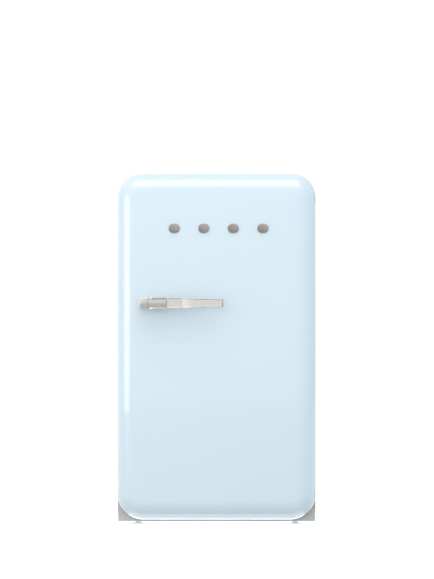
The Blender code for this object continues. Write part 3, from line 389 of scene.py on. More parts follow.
def outline(half, bottom, top, top_radii, foot_radii, steps=12, spans=8):
    """A rounded rectangle, anticlockwise from its lower right corner, as pairs."""
    tx, tz = top_radii
    fx, fz = foot_radii
    corners = [
        arc((half - fx, bottom + fz), (fx, fz), -90, 0, steps),
        arc((half - tx, top - tz), (tx, tz), 0, 90, steps),
        arc((tx - half, top - tz), (tx, tz), 90, 180, steps),
        arc((fx - half, bottom + fz), (fx, fz), 180, 270, steps),
    ]
    points = []
    for here, following in zip(corners, corners[1:] + corners[:1]):
        points += here + between(here[-1], following[0], spans)
    return points


def swell(x, z, bow):
    """The slight curve of the outline: widest low down, with a faint rise in the middle of the top."""
    narrower = 1 - bow * ((z - WIDEST_Z) / (DOOR_TOP - WIDEST_Z)) ** 2 / DOOR_HALF
    weight = max(0.0, (z - DOOR_TOP / 2) / (DOOR_TOP / 2))
    return x * narrower, z - TOP_BOW * weight * (x / DOOR_HALF) ** 2


def shrunk(radius, inset, least=0.006):
    """A corner's radius at an inset, never too small to be round."""
    return max(radius - inset, least)


def door_ring(inset, y):
    """The door's outline, drawn in by an inset."""
    top = shrunk(TOP_RADIUS, inset)
    foot = [shrunk(radius, inset) for radius in FOOT_RADII]
    points = outline(DOOR_HALF - inset, DOOR_BOTTOM + inset, DOOR_TOP - inset, (top, top), foot)
    return [(x, y, z) for x, z in (swell(a, b, SIDE_BOW) for a, b in points)]


def frame_ring(half, bottom, top, radius, y, steps=12, spans=8):
    """An upright rounded rectangle."""
    points = outline(half, bottom, top, (radius, radius), (radius, radius), steps, spans)
    return [(x, y, z) for x, z in points]


def plan_ring(x, y, radius, z):
    """A rounded rectangle lying flat, between pairs of limits."""
    half, middle = (x[1] - x[0]) / 2, (x[0] + x[1]) / 2
    points = outline(half, y[0], y[1], (radius, radius), (radius, radius), 6, 4)
    return [(middle + a, b, z) for a, b in points]


def loft(rings, closed=False):
    """A skin over rings of equal length, with flat ends unless it closes on itself."""
    shape = bmesh.new()
    rows = [[shape.verts.new(point) for point in ring] for ring in rings]
    pairs = list(zip(rows, rows[1:]))
    if closed:
        pairs.append((rows[-1], rows[0]))
    for low, high in pairs:
        for i in range(len(low)):
            j = (i + 1) % len(low)
            shape.faces.new((low[i], low[j], high[j], high[i]))
    if not closed:
        shape.faces.new(rows[0])
        shape.faces.new(rows[-1])
    return shape


def ribbon(paths):
    """A bent sheet from open paths that run round its thickness."""
    shape = bmesh.new()
    rows = [[shape.verts.new(point) for point in path] for path in paths]
    for low, high in zip(rows, rows[1:] + rows[:1]):
        for i in range(len(low) - 1):
            shape.faces.new((low[i], low[i + 1], high[i + 1], high[i]))
    shape.faces.new([row[0] for row in rows])
    shape.faces.new([row[-1] for row in rows])
    return shape


def sweep(path, section):
    """A closed section carried round a closed path; section gives (inset, y), path(inset, y) gives a ring."""
    return loft([path(inset, y) for inset, y in section], closed=True)


def block(x, y, z, bevel=0.0, segments=3):
    """A rectangular body with rolled edges."""
    shape = bmesh.new()
    bmesh.ops.create_cube(shape, size=1.0)
    for vert in shape.verts:
        vert.co.x = x[0] + (vert.co.x + 0.5) * (x[1] - x[0])
        vert.co.y = y[0] + (vert.co.y + 0.5) * (y[1] - y[0])
        vert.co.z = z[0] + (vert.co.z + 0.5) * (z[1] - z[0])
    if bevel:
        rolled(shape, shape.edges[:], bevel, segments, True)
    return shape


def rolled(shape, edges, radius, segments, clamped=False):
    """Round edges."""
    bmesh.ops.bevel(
        shape, geom=edges, offset=radius, segments=segments, affect="EDGES", profile=0.5, clamp_overlap=clamped
    )


def turned(profile, axis, origin, sides=64):
    """A turned body about an axis letter through the origin; profile is (radius, position) along the axis."""
    rings = []
    for radius, along in profile:
        ring = []
        for i in range(sides):
            angle = 2 * math.pi * i / sides
            a, b = max(radius, TINY) * math.cos(angle), max(radius, TINY) * math.sin(angle)
            place = {"X": (along, a, b), "Y": (a, along, b), "Z": (a, b, along)}[axis]
            ring.append(tuple(Vector(place) + Vector(origin)))
        rings.append(ring)
    return loft(rings)


def mesh_of(name, shape):
    """The mesh of a finished shape."""
    mesh = bpy.data.meshes.new(name)
    shape.to_mesh(mesh)
    shape.free()
    return mesh


def placed(name, data):
    """An object in the scene."""
    made = bpy.data.objects.new(name, data)
    bpy.context.collection.objects.link(made)
    return made


def combined(*shapes):
    """Several meshes as one, for pieces that are made of separate bodies."""
    whole = bmesh.new()
    for shape in shapes:
        mesh = mesh_of("part", shape)
        whole.from_mesh(mesh)
        bpy.data.meshes.remove(mesh)
    return whole


def softened(mesh, angle):
    """Smooth faces, with sharp edges above an angle in degrees."""
    mesh.shade_smooth()
    mesh.set_sharp_from_angle(angle=math.radians(angle))


def joined_to(made, body, replaced):
    """Ties a piece to its body and hides the CAD nodes it stands for."""
    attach(made, body)
    if replaced:
        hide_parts(*replaced)


def piece(name, shape, look, body, replaced=(), angle=35.0):
    """A finished piece: normals out, smooth where it is round, riding on its body."""
    bmesh.ops.recalc_face_normals(shape, faces=shape.faces[:])
    mesh = mesh_of(name, shape)
    softened(mesh, angle)
    mesh.materials.append(LOOKS[look])
    made = placed(name, mesh)
    joined_to(made, body, replaced)
    return made


def wire(name, points, radius, look, body):
    """A round tube along points."""
    curve = bpy.data.curves.new(name, "CURVE")
    curve.dimensions = "3D"
    curve.bevel_depth = radius
    curve.bevel_resolution = 4
    curve.use_fill_caps = True
    line = curve.splines.new("NURBS")
    line.use_endpoint_u = True
    line.order_u = 3
    line.points.add(len(points) - 1)
    for target, point in zip(line.points, points):
        target.co = (*point, 1.0)
    curve.materials.append(LOOKS[look])
    joined_to(placed(name, curve), body, ())


def cutter(shape, name):
    """A hidden tool for a Boolean."""
    bmesh.ops.recalc_face_normals(shape, faces=shape.faces[:])
    made = placed(name, mesh_of(name, shape))
    made.hide_render = True
    made.display_type = "WIRE"
    return made


def carve(target, tool, operation="DIFFERENCE"):
    """Applies a Boolean with the tool and removes the tool."""
    step = target.modifiers.new("carve", "BOOLEAN")
    step.operation = operation
    step.solver = "EXACT"
    step.object = tool
    bpy.context.view_layer.update()
    graph = bpy.context.evaluated_depsgraph_get()
    result = bpy.data.meshes.new_from_object(target.evaluated_get(graph))
    target.modifiers.remove(step)
    old, target.data = target.data, result
    bpy.data.meshes.remove(old)
    bpy.data.objects.remove(tool)
    softened(target.data, 35.0)


def polish(name, look, width, segments=2, angle=35.0):
    """A CAD node that stays: flat faces merged, edges rolled, its own material."""
    shown = NODES[name]
    weld = shown.modifiers.new("weld", "WELD")
    weld.merge_threshold = TINY
    flat = shown.modifiers.new("flat", "DECIMATE")
    flat.decimate_type = "DISSOLVE"
    flat.angle_limit = math.radians(1.0)
    if width:
        roll = shown.modifiers.new("roll", "BEVEL")
        roll.width = width
        roll.segments = segments
        roll.limit_method = "ANGLE"
        roll.angle_limit = math.radians(angle)
        roll.harden_normals = True
    softened(shown.data, angle)
    shown.data.materials.clear()
    shown.data.materials.append(LOOKS[look])


# ---------------------------------------------------------------- door
def rolled_rings(offset, lift, steps):
    """Rings from the door's side over its edge roll to its face, drawn in by an offset."""
    start = CROWN_Y + CROWN + ROLL_DEPTH + lift
    rings = []
    for i in range(steps + 1):
        turn = math.pi / 2 * i / steps
        rings.append(door_ring(offset + ROLL_WIDTH * (1 - math.cos(turn)), start - ROLL_DEPTH * math.sin(turn)))
    return rings


def door_panel():
    """The pressed outer skin: side band, edge roll, faint crown, and a hem folded in at the back."""
    sheet = SKIN_SHEET
    rings = [
        door_ring(HEM, DOOR_BACK - sheet),
        door_ring(HEM, DOOR_BACK),
        door_ring(0.0012, DOOR_BACK),
        door_ring(0.0003, DOOR_BACK - 0.0005),
        door_ring(0.0, DOOR_BACK - 0.0014),
    ]
    rings += rolled_rings(0.0, 0.0, ROLL_STEPS)
    for i in range(1, CROWN_STEPS + 1):
        inset = ROLL_WIDTH + (CROWN_REACH - ROLL_WIDTH) * i / CROWN_STEPS
        fall = ((CROWN_REACH - inset) / (CROWN_REACH - ROLL_WIDTH)) ** 2
        rings.append(door_ring(inset, CROWN_Y + CROWN * fall))
    inner = [door_ring(sheet, DOOR_BACK - sheet), door_ring(sheet, CROWN_Y + CROWN + ROLL_DEPTH)]
    inner += rolled_rings(sheet, sheet, 6)[1:]
    inner.append(door_ring(CROWN_REACH, CROWN_Y + CROWN + 2 * sheet))
    skin = piece("door_panel", loft(inner[::-1] + rings), "pastel_enamel", "door", ["door_skin"])
    for part in HINGES:
        carve(skin, hinge_pocket(part))


def hinge_slot(part, margin=0.0):
    """The slot for the hinge arm in the door's edge: x and y of its closed corner, middle and half height."""
    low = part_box("hinge_bush_" + part)[0]
    arm_low, arm_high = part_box("hinge_bracket_" + part)
    return low.x - GAP - margin, low.y - GAP - margin, (arm_low.z + arm_high.z) / 2, SLOT_HALF + margin


def hinge_pocket(part):
    """The slot in the door's edge, open to the back and to the side, where the hinge arm turns."""
    x, y, middle, half = hinge_slot(part)
    shape = block((x, DOOR_HALF + PAST), (y, DOOR_BACK + PAST), (middle - half, middle + half), 0.0015)
    return cutter(shape, "pocket_" + part)


def hinge_liner(part):
    """A moulded insert that closes the slot off from the foam."""
    x, y, middle, half = hinge_slot(part, -GAP / 2)
    wall, outer = SLOT_WALL, half + SLOT_WALL
    shape = block((x - wall, DOOR_HALF - 0.002), (y - wall, DOOR_BACK - 0.001), (middle - outer, middle + outer))
    made = piece("hinge_liner_" + part, shape, "grey_plastic", "door")
    inside = block((x, DOOR_HALF + PAST), (y, DOOR_BACK + PAST), (middle - half, middle + half))
    carve(made, cutter(inside, "liner_inside_" + part))


def door_seal():
    """Gasket: mounting foot, bellows and the soft magnet pocket that meets the cabinet."""
    depth = GASKET_HIGH.y - GASKET_LOW.y
    near = GASKET_LOW.y
    width = 0.021
    outer = GASKET_HIGH.x
    low, top = GASKET_LOW.z, GASKET_HIGH.z

    def path(inset, y):
        radius = max(0.033 - inset, 0.004)
        return frame_ring(outer - inset, low + inset, top - inset, radius, y, 10, 2)

    section = [(0.004, 0.0), (0.0035, 0.0012), (0.0010, 0.0030), (0.0002, 0.0048), (0.0024, 0.0062)]
    section += [(0.0008, 0.0074), (0.0, 0.0088), (0.0004, depth - 0.0008), (0.0014, depth)]
    section += [(0.0100, depth), (0.0112, depth - 0.0006), (0.0124, depth)]
    section += [(width - 0.0014, depth), (width - 0.0004, depth - 0.0008), (width, 0.0088)]
    section += [(width - 0.0010, 0.0072), (width - 0.0030, 0.0060), (width - 0.0002, 0.0044)]
    section += [(width - 0.0012, 0.0026), (width - 0.0045, 0.0010), (width - 0.005, 0.0)]
    shape = sweep(path, [(inset, near + y) for inset, y in section])
    piece("door_seal", shape, "grey_rubber", "door", ["door_gasket"], angle=50)


def eased(profile, radius, steps=3):
    """The corners of an open (inset, y) profile rounded by short curves."""
    points = [profile[0]]
    for before, here, after in zip(profile, profile[1:], profile[2:]):
        here_v, before_v, after_v = Vector(here), Vector(before), Vector(after)
        reach_in = min(radius, (before_v - here_v).length / 2)
        reach_out = min(radius, (after_v - here_v).length / 2)
        start = here_v + (before_v - here_v).normalized() * reach_in
        end = here_v + (after_v - here_v).normalized() * reach_out
        for i in range(steps + 1):
            t = i / steps
            points.append(tuple((start * (1 - t) ** 2) + here_v * (2 * t * (1 - t)) + end * t**2))
    points.append(profile[-1])
    return points


def door_back():
    """The door's inner liner: a flange under the gasket, a raised dyke and a recessed field."""
    wall = 0.002
    half, low, high = CAVITY_HALF - 0.005, CAVITY_FLOOR + 0.005, CAVITY_TOP - 0.005
    dyke, rise, draft, field = 0.014, 0.025, 0.002, 0.008
    profile = [(-0.006, 0.0), (-draft, 0.0), (0.0, rise), (dyke, rise), (dyke + draft, field), (dyke + 0.03, field)]
    rear = [door_ring(0.0124, DOOR_BACK)]

    def ring(inset, y):
        radius = shrunk(0.022, inset)
        return frame_ring(half - inset, low + inset, high - inset, radius, DOOR_BACK + y)

    rear += [ring(inset, y) for inset, y in eased(profile, 0.004)]
    front = [[(x, y - wall, z) for x, y, z in edge] for edge in rear[:2]]
    front += [ring(dyke / 2, rise - wall - 0.002), ring(dyke + 0.03, field - wall)]
    back = piece("door_back", loft(front[::-1] + rear), "white_plastic", "door", ["door_liner"], angle=40)
    for part in HINGES:
        carve(back, hinge_pocket(part))


def balcony(node_name, rail_name):
    """A clear door shelf with round corners, a thick rim and a metal rail."""
    low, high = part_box(node_name)
    body = frame_body(node_name)
    wall, rim, band = 0.0022, 0.0036, 0.010

    def ring(inset, z):
        return plan_ring((low.x + inset, high.x - inset), (low.y + inset, high.y - inset), 0.014 - inset / 2, z)

    rings = [ring(0.006, low.z), ring(0.003, low.z + 0.001), ring(0.0012, low.z + 0.003)]
    rings += [ring(0.0010, high.z - band), ring(0.0, high.z - band + 0.0015)]
    rings += [ring(0.0, high.z - 0.001), ring(0.001, high.z), ring(rim - 0.001, high.z), ring(rim, high.z - 0.001)]
    rings += [ring(wall + 0.001, high.z - band), ring(wall + 0.0012, low.z + 0.006)]
    rings += [ring(wall + 0.003, low.z + wall + 0.0012), ring(0.010, low.z + wall)]
    piece(node_name + "_tray", loft(rings), "clear_plastic", body, [node_name])
    reach, end_y, rail_y, z = high.x - 0.020, high.y - 0.002, high.y + 0.0032, high.z - 0.005
    route = [(-reach - 0.012, end_y, z), (-reach - 0.010, rail_y, z), (-reach, rail_y, z)]
    route += [(reach, rail_y, z), (reach + 0.010, rail_y, z), (reach + 0.012, end_y, z)]
    wire(rail_name, route, 0.0024, "chrome", body)


def frame_body(node_name):
    """The CAD body that a node belongs to."""
    for body, members in frame["record"]["behaviour"]["bodies"].items():
        if node_name in members:
            return body


# ---------------------------------------------------------------- handle and ornaments
def upright(half):
    """Limits in z about the handle's middle."""
    return HANDLE_Z - half, HANDLE_Z + half


def handle_base():
    """The fixed block, the tongue between the lever's ears, the groove between them, and the seat plate."""
    low, high = HANDLE_LOW, HANDLE_HIGH
    half = (high.z - low.z) / 2
    body = block((low.x, GROOVE[0]), (low.y, high.y), upright(half), 0.0009)
    made = piece("handle_mount", body, "mount_metal", "door", ["handle_base"])
    tongue_x = (BLOCK_END - TONGUE_DROP, WINDOW_END - TONGUE_GAP)
    tongue = block(tongue_x, (low.y + TONGUE_DROP, high.y), upright(EAR_HALF - EAR_WALL - GAP), 0.0012)
    carve(made, cutter(tongue, "tongue"), "UNION")
    groove = block(GROOVE, (low.y - 0.001, low.y + GROOVE_DEPTH), upright(0.02))
    carve(made, cutter(groove, "groove"))
    seat_x, seat_y = (low.x + 0.001, WINDOW_END + ROOT), (high.y - GAP, high.y + 0.001)
    seat = block(seat_x, seat_y, upright(half - 0.001), 0.0004, 2)
    piece("handle_seat", seat, "mount_metal", "door")


def lever_section(x):
    """One C-shaped section of the bar: raised border, sunk face, open back."""
    start, tip = WINDOW_END, LEVER_HIGH.x
    t = (x - start) / (tip - start)
    h = EAR_HALF - 0.0008 + (TIP_HALF - EAR_HALF + 0.0008) * t
    border = BORDERS[0] + (BORDERS[1] - BORDERS[0]) * t
    front, depth, wall = FLAT_Y, EAR_DEPTH + (TIP_DEPTH - EAR_DEPTH) * t, LEVER_WALL
    if x > CREASE_X:
        u = (x - CREASE_X) / (tip - CREASE_X)
        front = FLAT_Y + (LEVER_LOW.y - FLAT_Y) * (1 - (1 - u) ** 2)
    half_loop = [(depth, -h), (0.0007, -h), (0.0002, 0.0002 - h), (0.0, 0.0007 - h), (0.0, border - 0.0016 - h)]
    half_loop += [(RECESS, border - h)]
    mirrored = [(y, -z) for y, z in reversed(half_loop)]
    inner = [(depth, h - wall), (RECESS + wall, h - wall), (RECESS + wall, wall - h), (depth, wall - h)]
    return [(x, front + y, HANDLE_Z + z) for y, z in half_loop + mirrored + inner]


def lever():
    """The moving bar: creased arm, end cap, two ears, and the pin they turn on."""
    tip, steps = LEVER_HIGH.x, 14
    stations = [WINDOW_END, WINDOW_END + ROOT, CREASE_X - 0.0004, CREASE_X + 0.0004]
    stations += [CREASE_X + (tip - 0.0030 - CREASE_X) * i / steps for i in range(1, steps + 1)]
    arm = loft([lever_section(x) for x in stations])
    made = piece("lever_arm", arm, "lever_metal", "handle", ["handle_lever"])
    inner = EAR_HALF - EAR_WALL
    wall = block((WINDOW_END, WINDOW_END + ROOT), (FLAT_Y + 0.0006, FLAT_Y + 0.021), upright(inner + 0.001))
    carve(made, cutter(wall, "root_wall"), "UNION")
    end = block((tip - TIP_LENGTH, tip), (LEVER_LOW.y - GAP, LEVER_LOW.y + TIP_DEPTH), upright(TIP_HALF), 0.0009)
    piece("lever_tip", end, "dark_satin", "handle")
    ears = []
    for side in (-1, 1):
        plan = arc(PIVOT, (EAR_RADIUS, EAR_RADIUS), 90, 270, 24)
        plan += [(WINDOW_END - GAP, FLAT_Y), (WINDOW_END - GAP, FLAT_Y + EAR_DEPTH)]
        levels = sorted((HANDLE_Z + side * inner, HANDLE_Z + side * EAR_HALF))
        ear = loft([[(x, y, level) for x, y in plan] for level in levels])
        edges = [e for e in ear.edges if abs(e.verts[0].co.z - e.verts[1].co.z) < TINY]
        rolled(ear, edges, 0.0005, 3)
        ears.append(ear)
    piece("lever_ears", combined(*ears), "ear_metal_painted_darker", "handle")
    head = EAR_HALF + GAP
    profile = [(0.0, -head), (0.0024, -head), (PIN_RADIUS, 0.0003 - head), (PIN_RADIUS, -EAR_HALF)]
    profile += [(radius, -along) for radius, along in reversed(profile)]
    pin = turned(profile, "Z", (*PIVOT, HANDLE_Z), 40)
    piece("pivot_pin", pin, "dark_satin", "door", ["handle_pin"])


def ornaments():
    """The row of plain pills on the door."""
    for i in range(1, BADGE_COUNT + 1):
        polish("badge_%d" % i, "dark_satin", 0.0009, 3, 50.0)


# ---------------------------------------------------------------- cabinet
def arch(half, top, radius):
    """From the right foot over the top, with round corners, to the left foot."""
    right = arc((half - radius, top - radius), (radius, radius), 0, 90, 16)
    left = arc((radius - half, top - radius), (radius, radius), 90, 180, 16)
    return [(half, CABINET_BOTTOM), *right, *between(right[-1], left[0], 10), *left, (-half, CABINET_BOTTOM)]


def cabinet_path(inset, y):
    """The shell's outline, drawn in by an inset."""
    points = arch(CABINET_HALF - inset, CABINET_TOP - inset, shrunk(TOP_RADIUS, inset, 0.001))
    return [(x, y, z) for x, z in (swell(a, b, 0.0) for a, b in points)]


def rim_path(y):
    """The inner edge of the shell's front fold."""
    return [(x, y, z) for x, z in arch(LINER_HIGH.x + GAP, LINER_HIGH.z + GAP, 0.001)]


def cabinet_wrap():
    """The painted sheet over sides and top, with a soft front edge and a folded rear edge."""
    front, back, sheet = CABINET_FRONT, CABINET_BACK, CABINET_SHEET
    paths = [rim_path(front), cabinet_path(0.0016, front), cabinet_path(0.0006, front + 0.0004)]
    paths += [cabinet_path(0.0, front + 0.0016), cabinet_path(0.0, back - 0.001), cabinet_path(0.0004, back)]
    paths += [cabinet_path(0.0008, back), cabinet_path(sheet, back - 0.0004)]
    paths += [cabinet_path(sheet, front + sheet), rim_path(front + sheet)]
    wrap = piece("cabinet_wrap", ribbon(paths), "pastel_enamel", "cabinet", ["cabinet_shell"], angle=30)
    inside = CABINET_HALF - sheet
    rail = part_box("bottom_rail")[0].z
    room = block((-inside, inside), (front - 0.02, front + sheet + GAP), (-0.05, rail - 2 * GAP))
    carve(wrap, cutter(room, "plinth_room"))


def cabinet_nodes():
    """CAD pieces that stay: their finish, how far their edges are rolled, and their names."""
    rows = (
        ("zinc_steel", 0.0, "rear_panel base_plate"),
        ("zinc_steel", 0.0003, "niche_panel"),
        ("zinc_steel", 0.0004, "hinge_bracket_lower hinge_bracket_upper compressor_bracket"),
        ("pastel_enamel", 0.0004, "bottom_rail"),
        ("grey_plastic", 0.0006, "plinth_cover"),
        ("grey_plastic", 0.0004, "hinge_bush_lower hinge_bush_upper drain_tube"),
        ("insulation", 0.0, "foam_insulation door_foam"),
        ("copper", 0.0, "condenser_left condenser_right discharge_tube suction_tube"),
        ("copper", 0.002, "filter_drier"),
        ("chrome", 0.0004, "hinge_pin_lower hinge_pin_upper"),
        ("dark_plastic", 0.003, "rear_spacer_left rear_spacer_right"),
        ("dark_plastic", 0.002, "terminal_cover"),
        ("dark_plastic", 0.0006, "evaporation_tray"),
        ("dark_plastic", 0.0008, "switch_plunger"),
        ("black_rubber", 0.0008, "rear_foot_left rear_foot_right cord_gland"),
        ("black_rubber", 0.001, "compressor_mount_left compressor_mount_right"),
        ("aluminium", 0.0006, "ice_box"),
        ("white_plastic", 0.0012, "ice_box_frame switch_body"),
        ("white_plastic", 0.004, "thermostat_housing"),
        ("lamp", 0.0015, "lamp"),
        ("clear_plastic", 0.0005, "lamp_cover"),
        ("glass", 0.0006, "crisper_cover_glass glass_shelf_middle glass_shelf_upper"),
    )
    for look, width, names in rows:
        for name in names.split():
            polish(name, look, width)


def front_feet():
    """Levelling feet: a thin round pad, a nut and a threaded stem."""
    nut, crest, root, pitch = 0.0075, 0.0049, 0.0043, 0.00125
    for side in ("left", "right"):
        node_name = "front_foot_" + side
        low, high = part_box(node_name)
        reach, tall = (high.x - low.x) / 2, high.z - low.z
        profile = [(0.0, 0.0), (reach - 0.0006, 0.0), (reach, 0.0006), (reach, 0.0014)]
        profile += [(reach - 0.003, 0.0022), (nut, 0.0028), (nut, 0.0060), (crest, 0.0066)]
        for i in range(int((tall - 0.0076) / pitch)):
            start = 0.0070 + pitch * i
            profile += [(crest, start + 0.0003), (root, start + 0.0008)]
        profile += [(root, tall), (0.0, tall)]
        foot = turned(profile, "Z", ((low.x + high.x) / 2, (low.y + high.y) / 2, low.z), 48)
        piece("levelling_foot_" + side, foot, "foot_white", "foot_" + side, [node_name])


# ---------------------------------------------------------------- inside the cabinet
def tub():
    """The moulded inner liner: a cavity with round corners, a step over the compressor and a front rim."""
    front, bend = CABINET_FRONT, 0.012
    section = [(front, CAVITY_FLOOR), (STEP_FRONT, CAVITY_FLOOR), (STEP_FRONT, STEP_TOP), (CAVITY_BACK, STEP_TOP)]
    section += [(CAVITY_BACK, CAVITY_TOP), (front, CAVITY_TOP)]
    shape = loft([[(x, y, z) for y, z in section] for x in (-CAVITY_HALF, CAVITY_HALF)])
    open_side = [f for f in shape.faces if all(abs(v.co.y - front) < TINY for v in f.verts)]
    bmesh.ops.delete(shape, geom=open_side, context="FACES")
    edges = [e for e in shape.edges if not e.is_boundary]
    rolled(shape, edges, bend, 5)
    rim = [e for e in shape.edges if e.is_boundary]
    grown = bmesh.ops.extrude_edge_only(shape, edges=rim)
    middle = (LINER_LOW.z + LINER_HIGH.z) / 2
    reach_z = (LINER_HIGH.z - LINER_LOW.z) / 2
    slack = 1.2 * bend
    for vert in (v for v in grown["geom"] if isinstance(v, bmesh.types.BMVert)):
        x = vert.co.x * LINER_HIGH.x / (CAVITY_HALF - slack)
        z = (vert.co.z - middle) * reach_z / (reach_z - LINER_MARGIN - slack)
        vert.co.x = max(-LINER_HIGH.x, min(LINER_HIGH.x, x))
        vert.co.z = middle + max(-reach_z, min(reach_z, z))
    bmesh.ops.remove_doubles(shape, verts=shape.verts[:], dist=TINY)
    made = piece("liner_tub", shape, "white_plastic", "cabinet", ["inner_liner"], angle=40)
    wall = made.modifiers.new("wall", "SOLIDIFY")
    wall.thickness = 0.0015
    wall.offset = 1.0
    ribs = []
    for name in SHELVES:
        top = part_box(name)[0].z - GAP
        for side in (-1, 1):
            x = sorted((side * (CAVITY_HALF + 0.001), side * (CAVITY_HALF - 0.008)))
            ribs.append(block(x, (-0.072, CAVITY_BACK - 0.008), (top - 0.0055, top), 0.0022, 3))
    piece("liner_ribs", combined(*ribs), "white_plastic", "cabinet")
    profile = [(0.0065, 0.0012), (0.0085, 0.0022), (0.0115, 0.0012), (0.0120, -0.0004), (0.0065, -0.0004)]
    mouth = turned(profile + profile[:1], "Z", DRAIN_PLACE, 32)
    piece("drain_mouth", mouth, "grey_plastic", "cabinet")


def shelf_trims():
    """A rounded edging along the front and the back of each glass shelf."""
    for name in SHELVES:
        low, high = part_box(name)
        sides = {"front": (low.y - 0.0030, low.y + 0.0090), "back": (high.y - 0.0100, high.y + 0.0004)}
        for part, y in sides.items():
            trim = block((low.x, high.x), y, (low.z - 0.0002, high.z + 0.0018), 0.0016, 3)
            piece("%s_trim_%s" % (name, part), trim, "white_plastic", "cabinet")


def crisper():
    """The drawer for vegetables, with a grip along its front edge."""
    low, high, wall = CRISPER_LOW, CRISPER_HIGH, 0.002

    def ring(inset, z):
        limits = (low.x + inset, high.x - inset), (low.y + inset, high.y - inset)
        return plan_ring(*limits, shrunk(0.016, inset), z)

    rings = [ring(0.010, low.z), ring(0.007, low.z + 0.0006), ring(0.0048, low.z + 0.004)]
    rings += [ring(0.0016, high.z - 0.016), ring(0.0014, high.z - 0.012), ring(0.0, high.z - 0.011)]
    rings += [ring(0.0, high.z - 0.0012), ring(0.0008, high.z)]
    rings += [ring(0.0026, high.z), ring(0.0034, high.z - 0.001)]
    rings += [ring(0.0014 + wall, high.z - 0.013), ring(0.0048 + wall, low.z + 0.006)]
    rings += [ring(0.0075 + wall, low.z + wall + 0.0012), ring(0.012, low.z + wall)]
    piece("crisper_tray", loft(rings), "clear_plastic", "crisper", ["crisper_bin"])
    grip_y, grip_z = (low.y - 0.0085, low.y + 0.0008), (high.z - 0.017, high.z - 0.004)
    grip = block((-0.075, 0.075), grip_y, grip_z, 0.0035, 4)
    piece("crisper_grip", grip, "white_plastic", "crisper")


def ice_box_details():
    """Channels under the roll-bonded sleeve, and the flap with a raised field and a ledge for the fingers."""
    z = ICE_LOW.z + 0.0002
    near, far = ICE_LOW.y + 0.030, ICE_HIGH.y - 0.030
    route = []
    for i in range(7):
        x = -0.170 + 0.340 * i / 6
        ends = (near, far) if i % 2 == 0 else (far, near)
        route += [(x, ends[0], z), (x, ends[1], z)]
    wire("evaporator_channel", route, 0.0030, "aluminium", "cabinet")
    half, bottom, radius = FLAP_HIGH.x - 0.0045, FLAP_LOW.z, 0.005
    pivot_y, pivot_z = (FLAP_LOW.y + FLAP_HIGH.y) / 2, FLAP_HIGH.z - radius
    section = arc((pivot_y, pivot_z), (radius, radius), 0, 180, 16)
    section += [(pivot_y - radius, bottom + 0.0015), (pivot_y - 0.0035, bottom)]
    section += [(pivot_y + 0.0035, bottom), (pivot_y + radius, bottom + 0.0015)]
    flap = loft([[(x, y, z) for y, z in section] for x in (-half, -half + 0.001, half - 0.001, half)])
    made = piece("ice_flap_panel", flap, "white_plastic", "ice_flap", ["ice_box_flap"])
    field_z = (bottom + 0.012, pivot_z - 0.012)
    field = block((-half + 0.014, half - 0.014), (pivot_y - 0.0064, pivot_y), field_z, 0.0014)
    carve(made, cutter(field, "field"), "UNION")
    ledge = block((-0.040, 0.040), (pivot_y - 0.0125, pivot_y), (bottom + 0.0015, bottom + 0.0065), 0.0022)
    carve(made, cutter(ledge, "ledge"), "UNION")
    reach, thick = FLAP_HIGH.x, 0.0025
    profile = [(0.0, -reach), (thick, -reach), (thick, reach), (0.0, reach)]
    pin = turned(profile, "X", (0.0, pivot_y, pivot_z), 24)
    piece("ice_flap_pins", pin, "white_plastic", "ice_flap")


def thermostat():
    """The knob with its ribbed skirt and pointer, and the dial's marks and numbers."""
    face = HOUSING_LOW.x
    y = (KNOB_LOW.y + KNOB_HIGH.y) / 2
    z = (KNOB_LOW.z + KNOB_HIGH.z) / 2
    rings, teeth = [], 36
    rows = (0.0180, -GAP), (0.0180, -0.0020), (0.0166, -0.0110), (0.0158, -0.0120), (0.0140, -0.0122)
    for radius, along in rows:
        ring = []
        for i in range(teeth * 2):
            angle = math.pi * i / teeth
            at = radius - 0.0006 if i % 2 and radius > 0.0150 else radius
            ring.append((face + along, y + at * math.cos(angle), z + at * math.sin(angle)))
        rings.append(ring)
    knob = piece("knob_skirt", loft(rings), "grey_plastic", "knob", ["thermostat_knob"], angle=30)
    grip = block((face - 0.0200, face - 0.0080), (y - 0.0026, y + 0.0026), (z - 0.0140, z + 0.0140), 0.0014)
    carve(knob, cutter(grip, "grip"), "UNION")
    mark_x, mark_y = (face - 0.0204, face - 0.0190), (y - 0.0007, y + 0.0007)
    mark = block(mark_x, mark_y, (z + 0.0060, z + 0.0130), 0.0002, 1)
    piece("knob_pointer", mark, "white_plastic", "knob")
    ticks = []
    for i in range(11):
        angle = math.radians(DIAL_START + DIAL_STEP * i)
        tick = block((face - 0.0004, face + 0.001), (-0.0003, 0.0003), (0.0190, 0.0205))
        for vert in tick.verts:
            a, b = vert.co.y, vert.co.z
            vert.co.y = y + a * math.cos(angle) + b * math.sin(angle)
            vert.co.z = z - a * math.sin(angle) + b * math.cos(angle)
        ticks.append(tick)
    piece("dial_ticks", combined(*ticks), "dark_plastic", "cabinet")
    for i in range(6):
        angle = math.radians(DIAL_START + 2 * DIAL_STEP * i)
        text = bpy.data.curves.new("dial_number_%d" % i, "FONT")
        text.body = str(i)
        text.size = 0.0058
        text.extrude = 0.0002
        text.align_x, text.align_y = "CENTER", "CENTER"
        text.materials.append(LOOKS["dark_plastic"])
        aside, up = y + DIAL_RADIUS * math.sin(angle), z + DIAL_RADIUS * math.cos(angle)
        made = placed("dial_number_%d" % i, text)
        made.matrix_world = Matrix(((0, 0, -1, face - 0.0001), (-1, 0, 0, aside), (0, 1, 0, up), (0, 0, 0, 1)))
        joined_to(made, "cabinet", ())


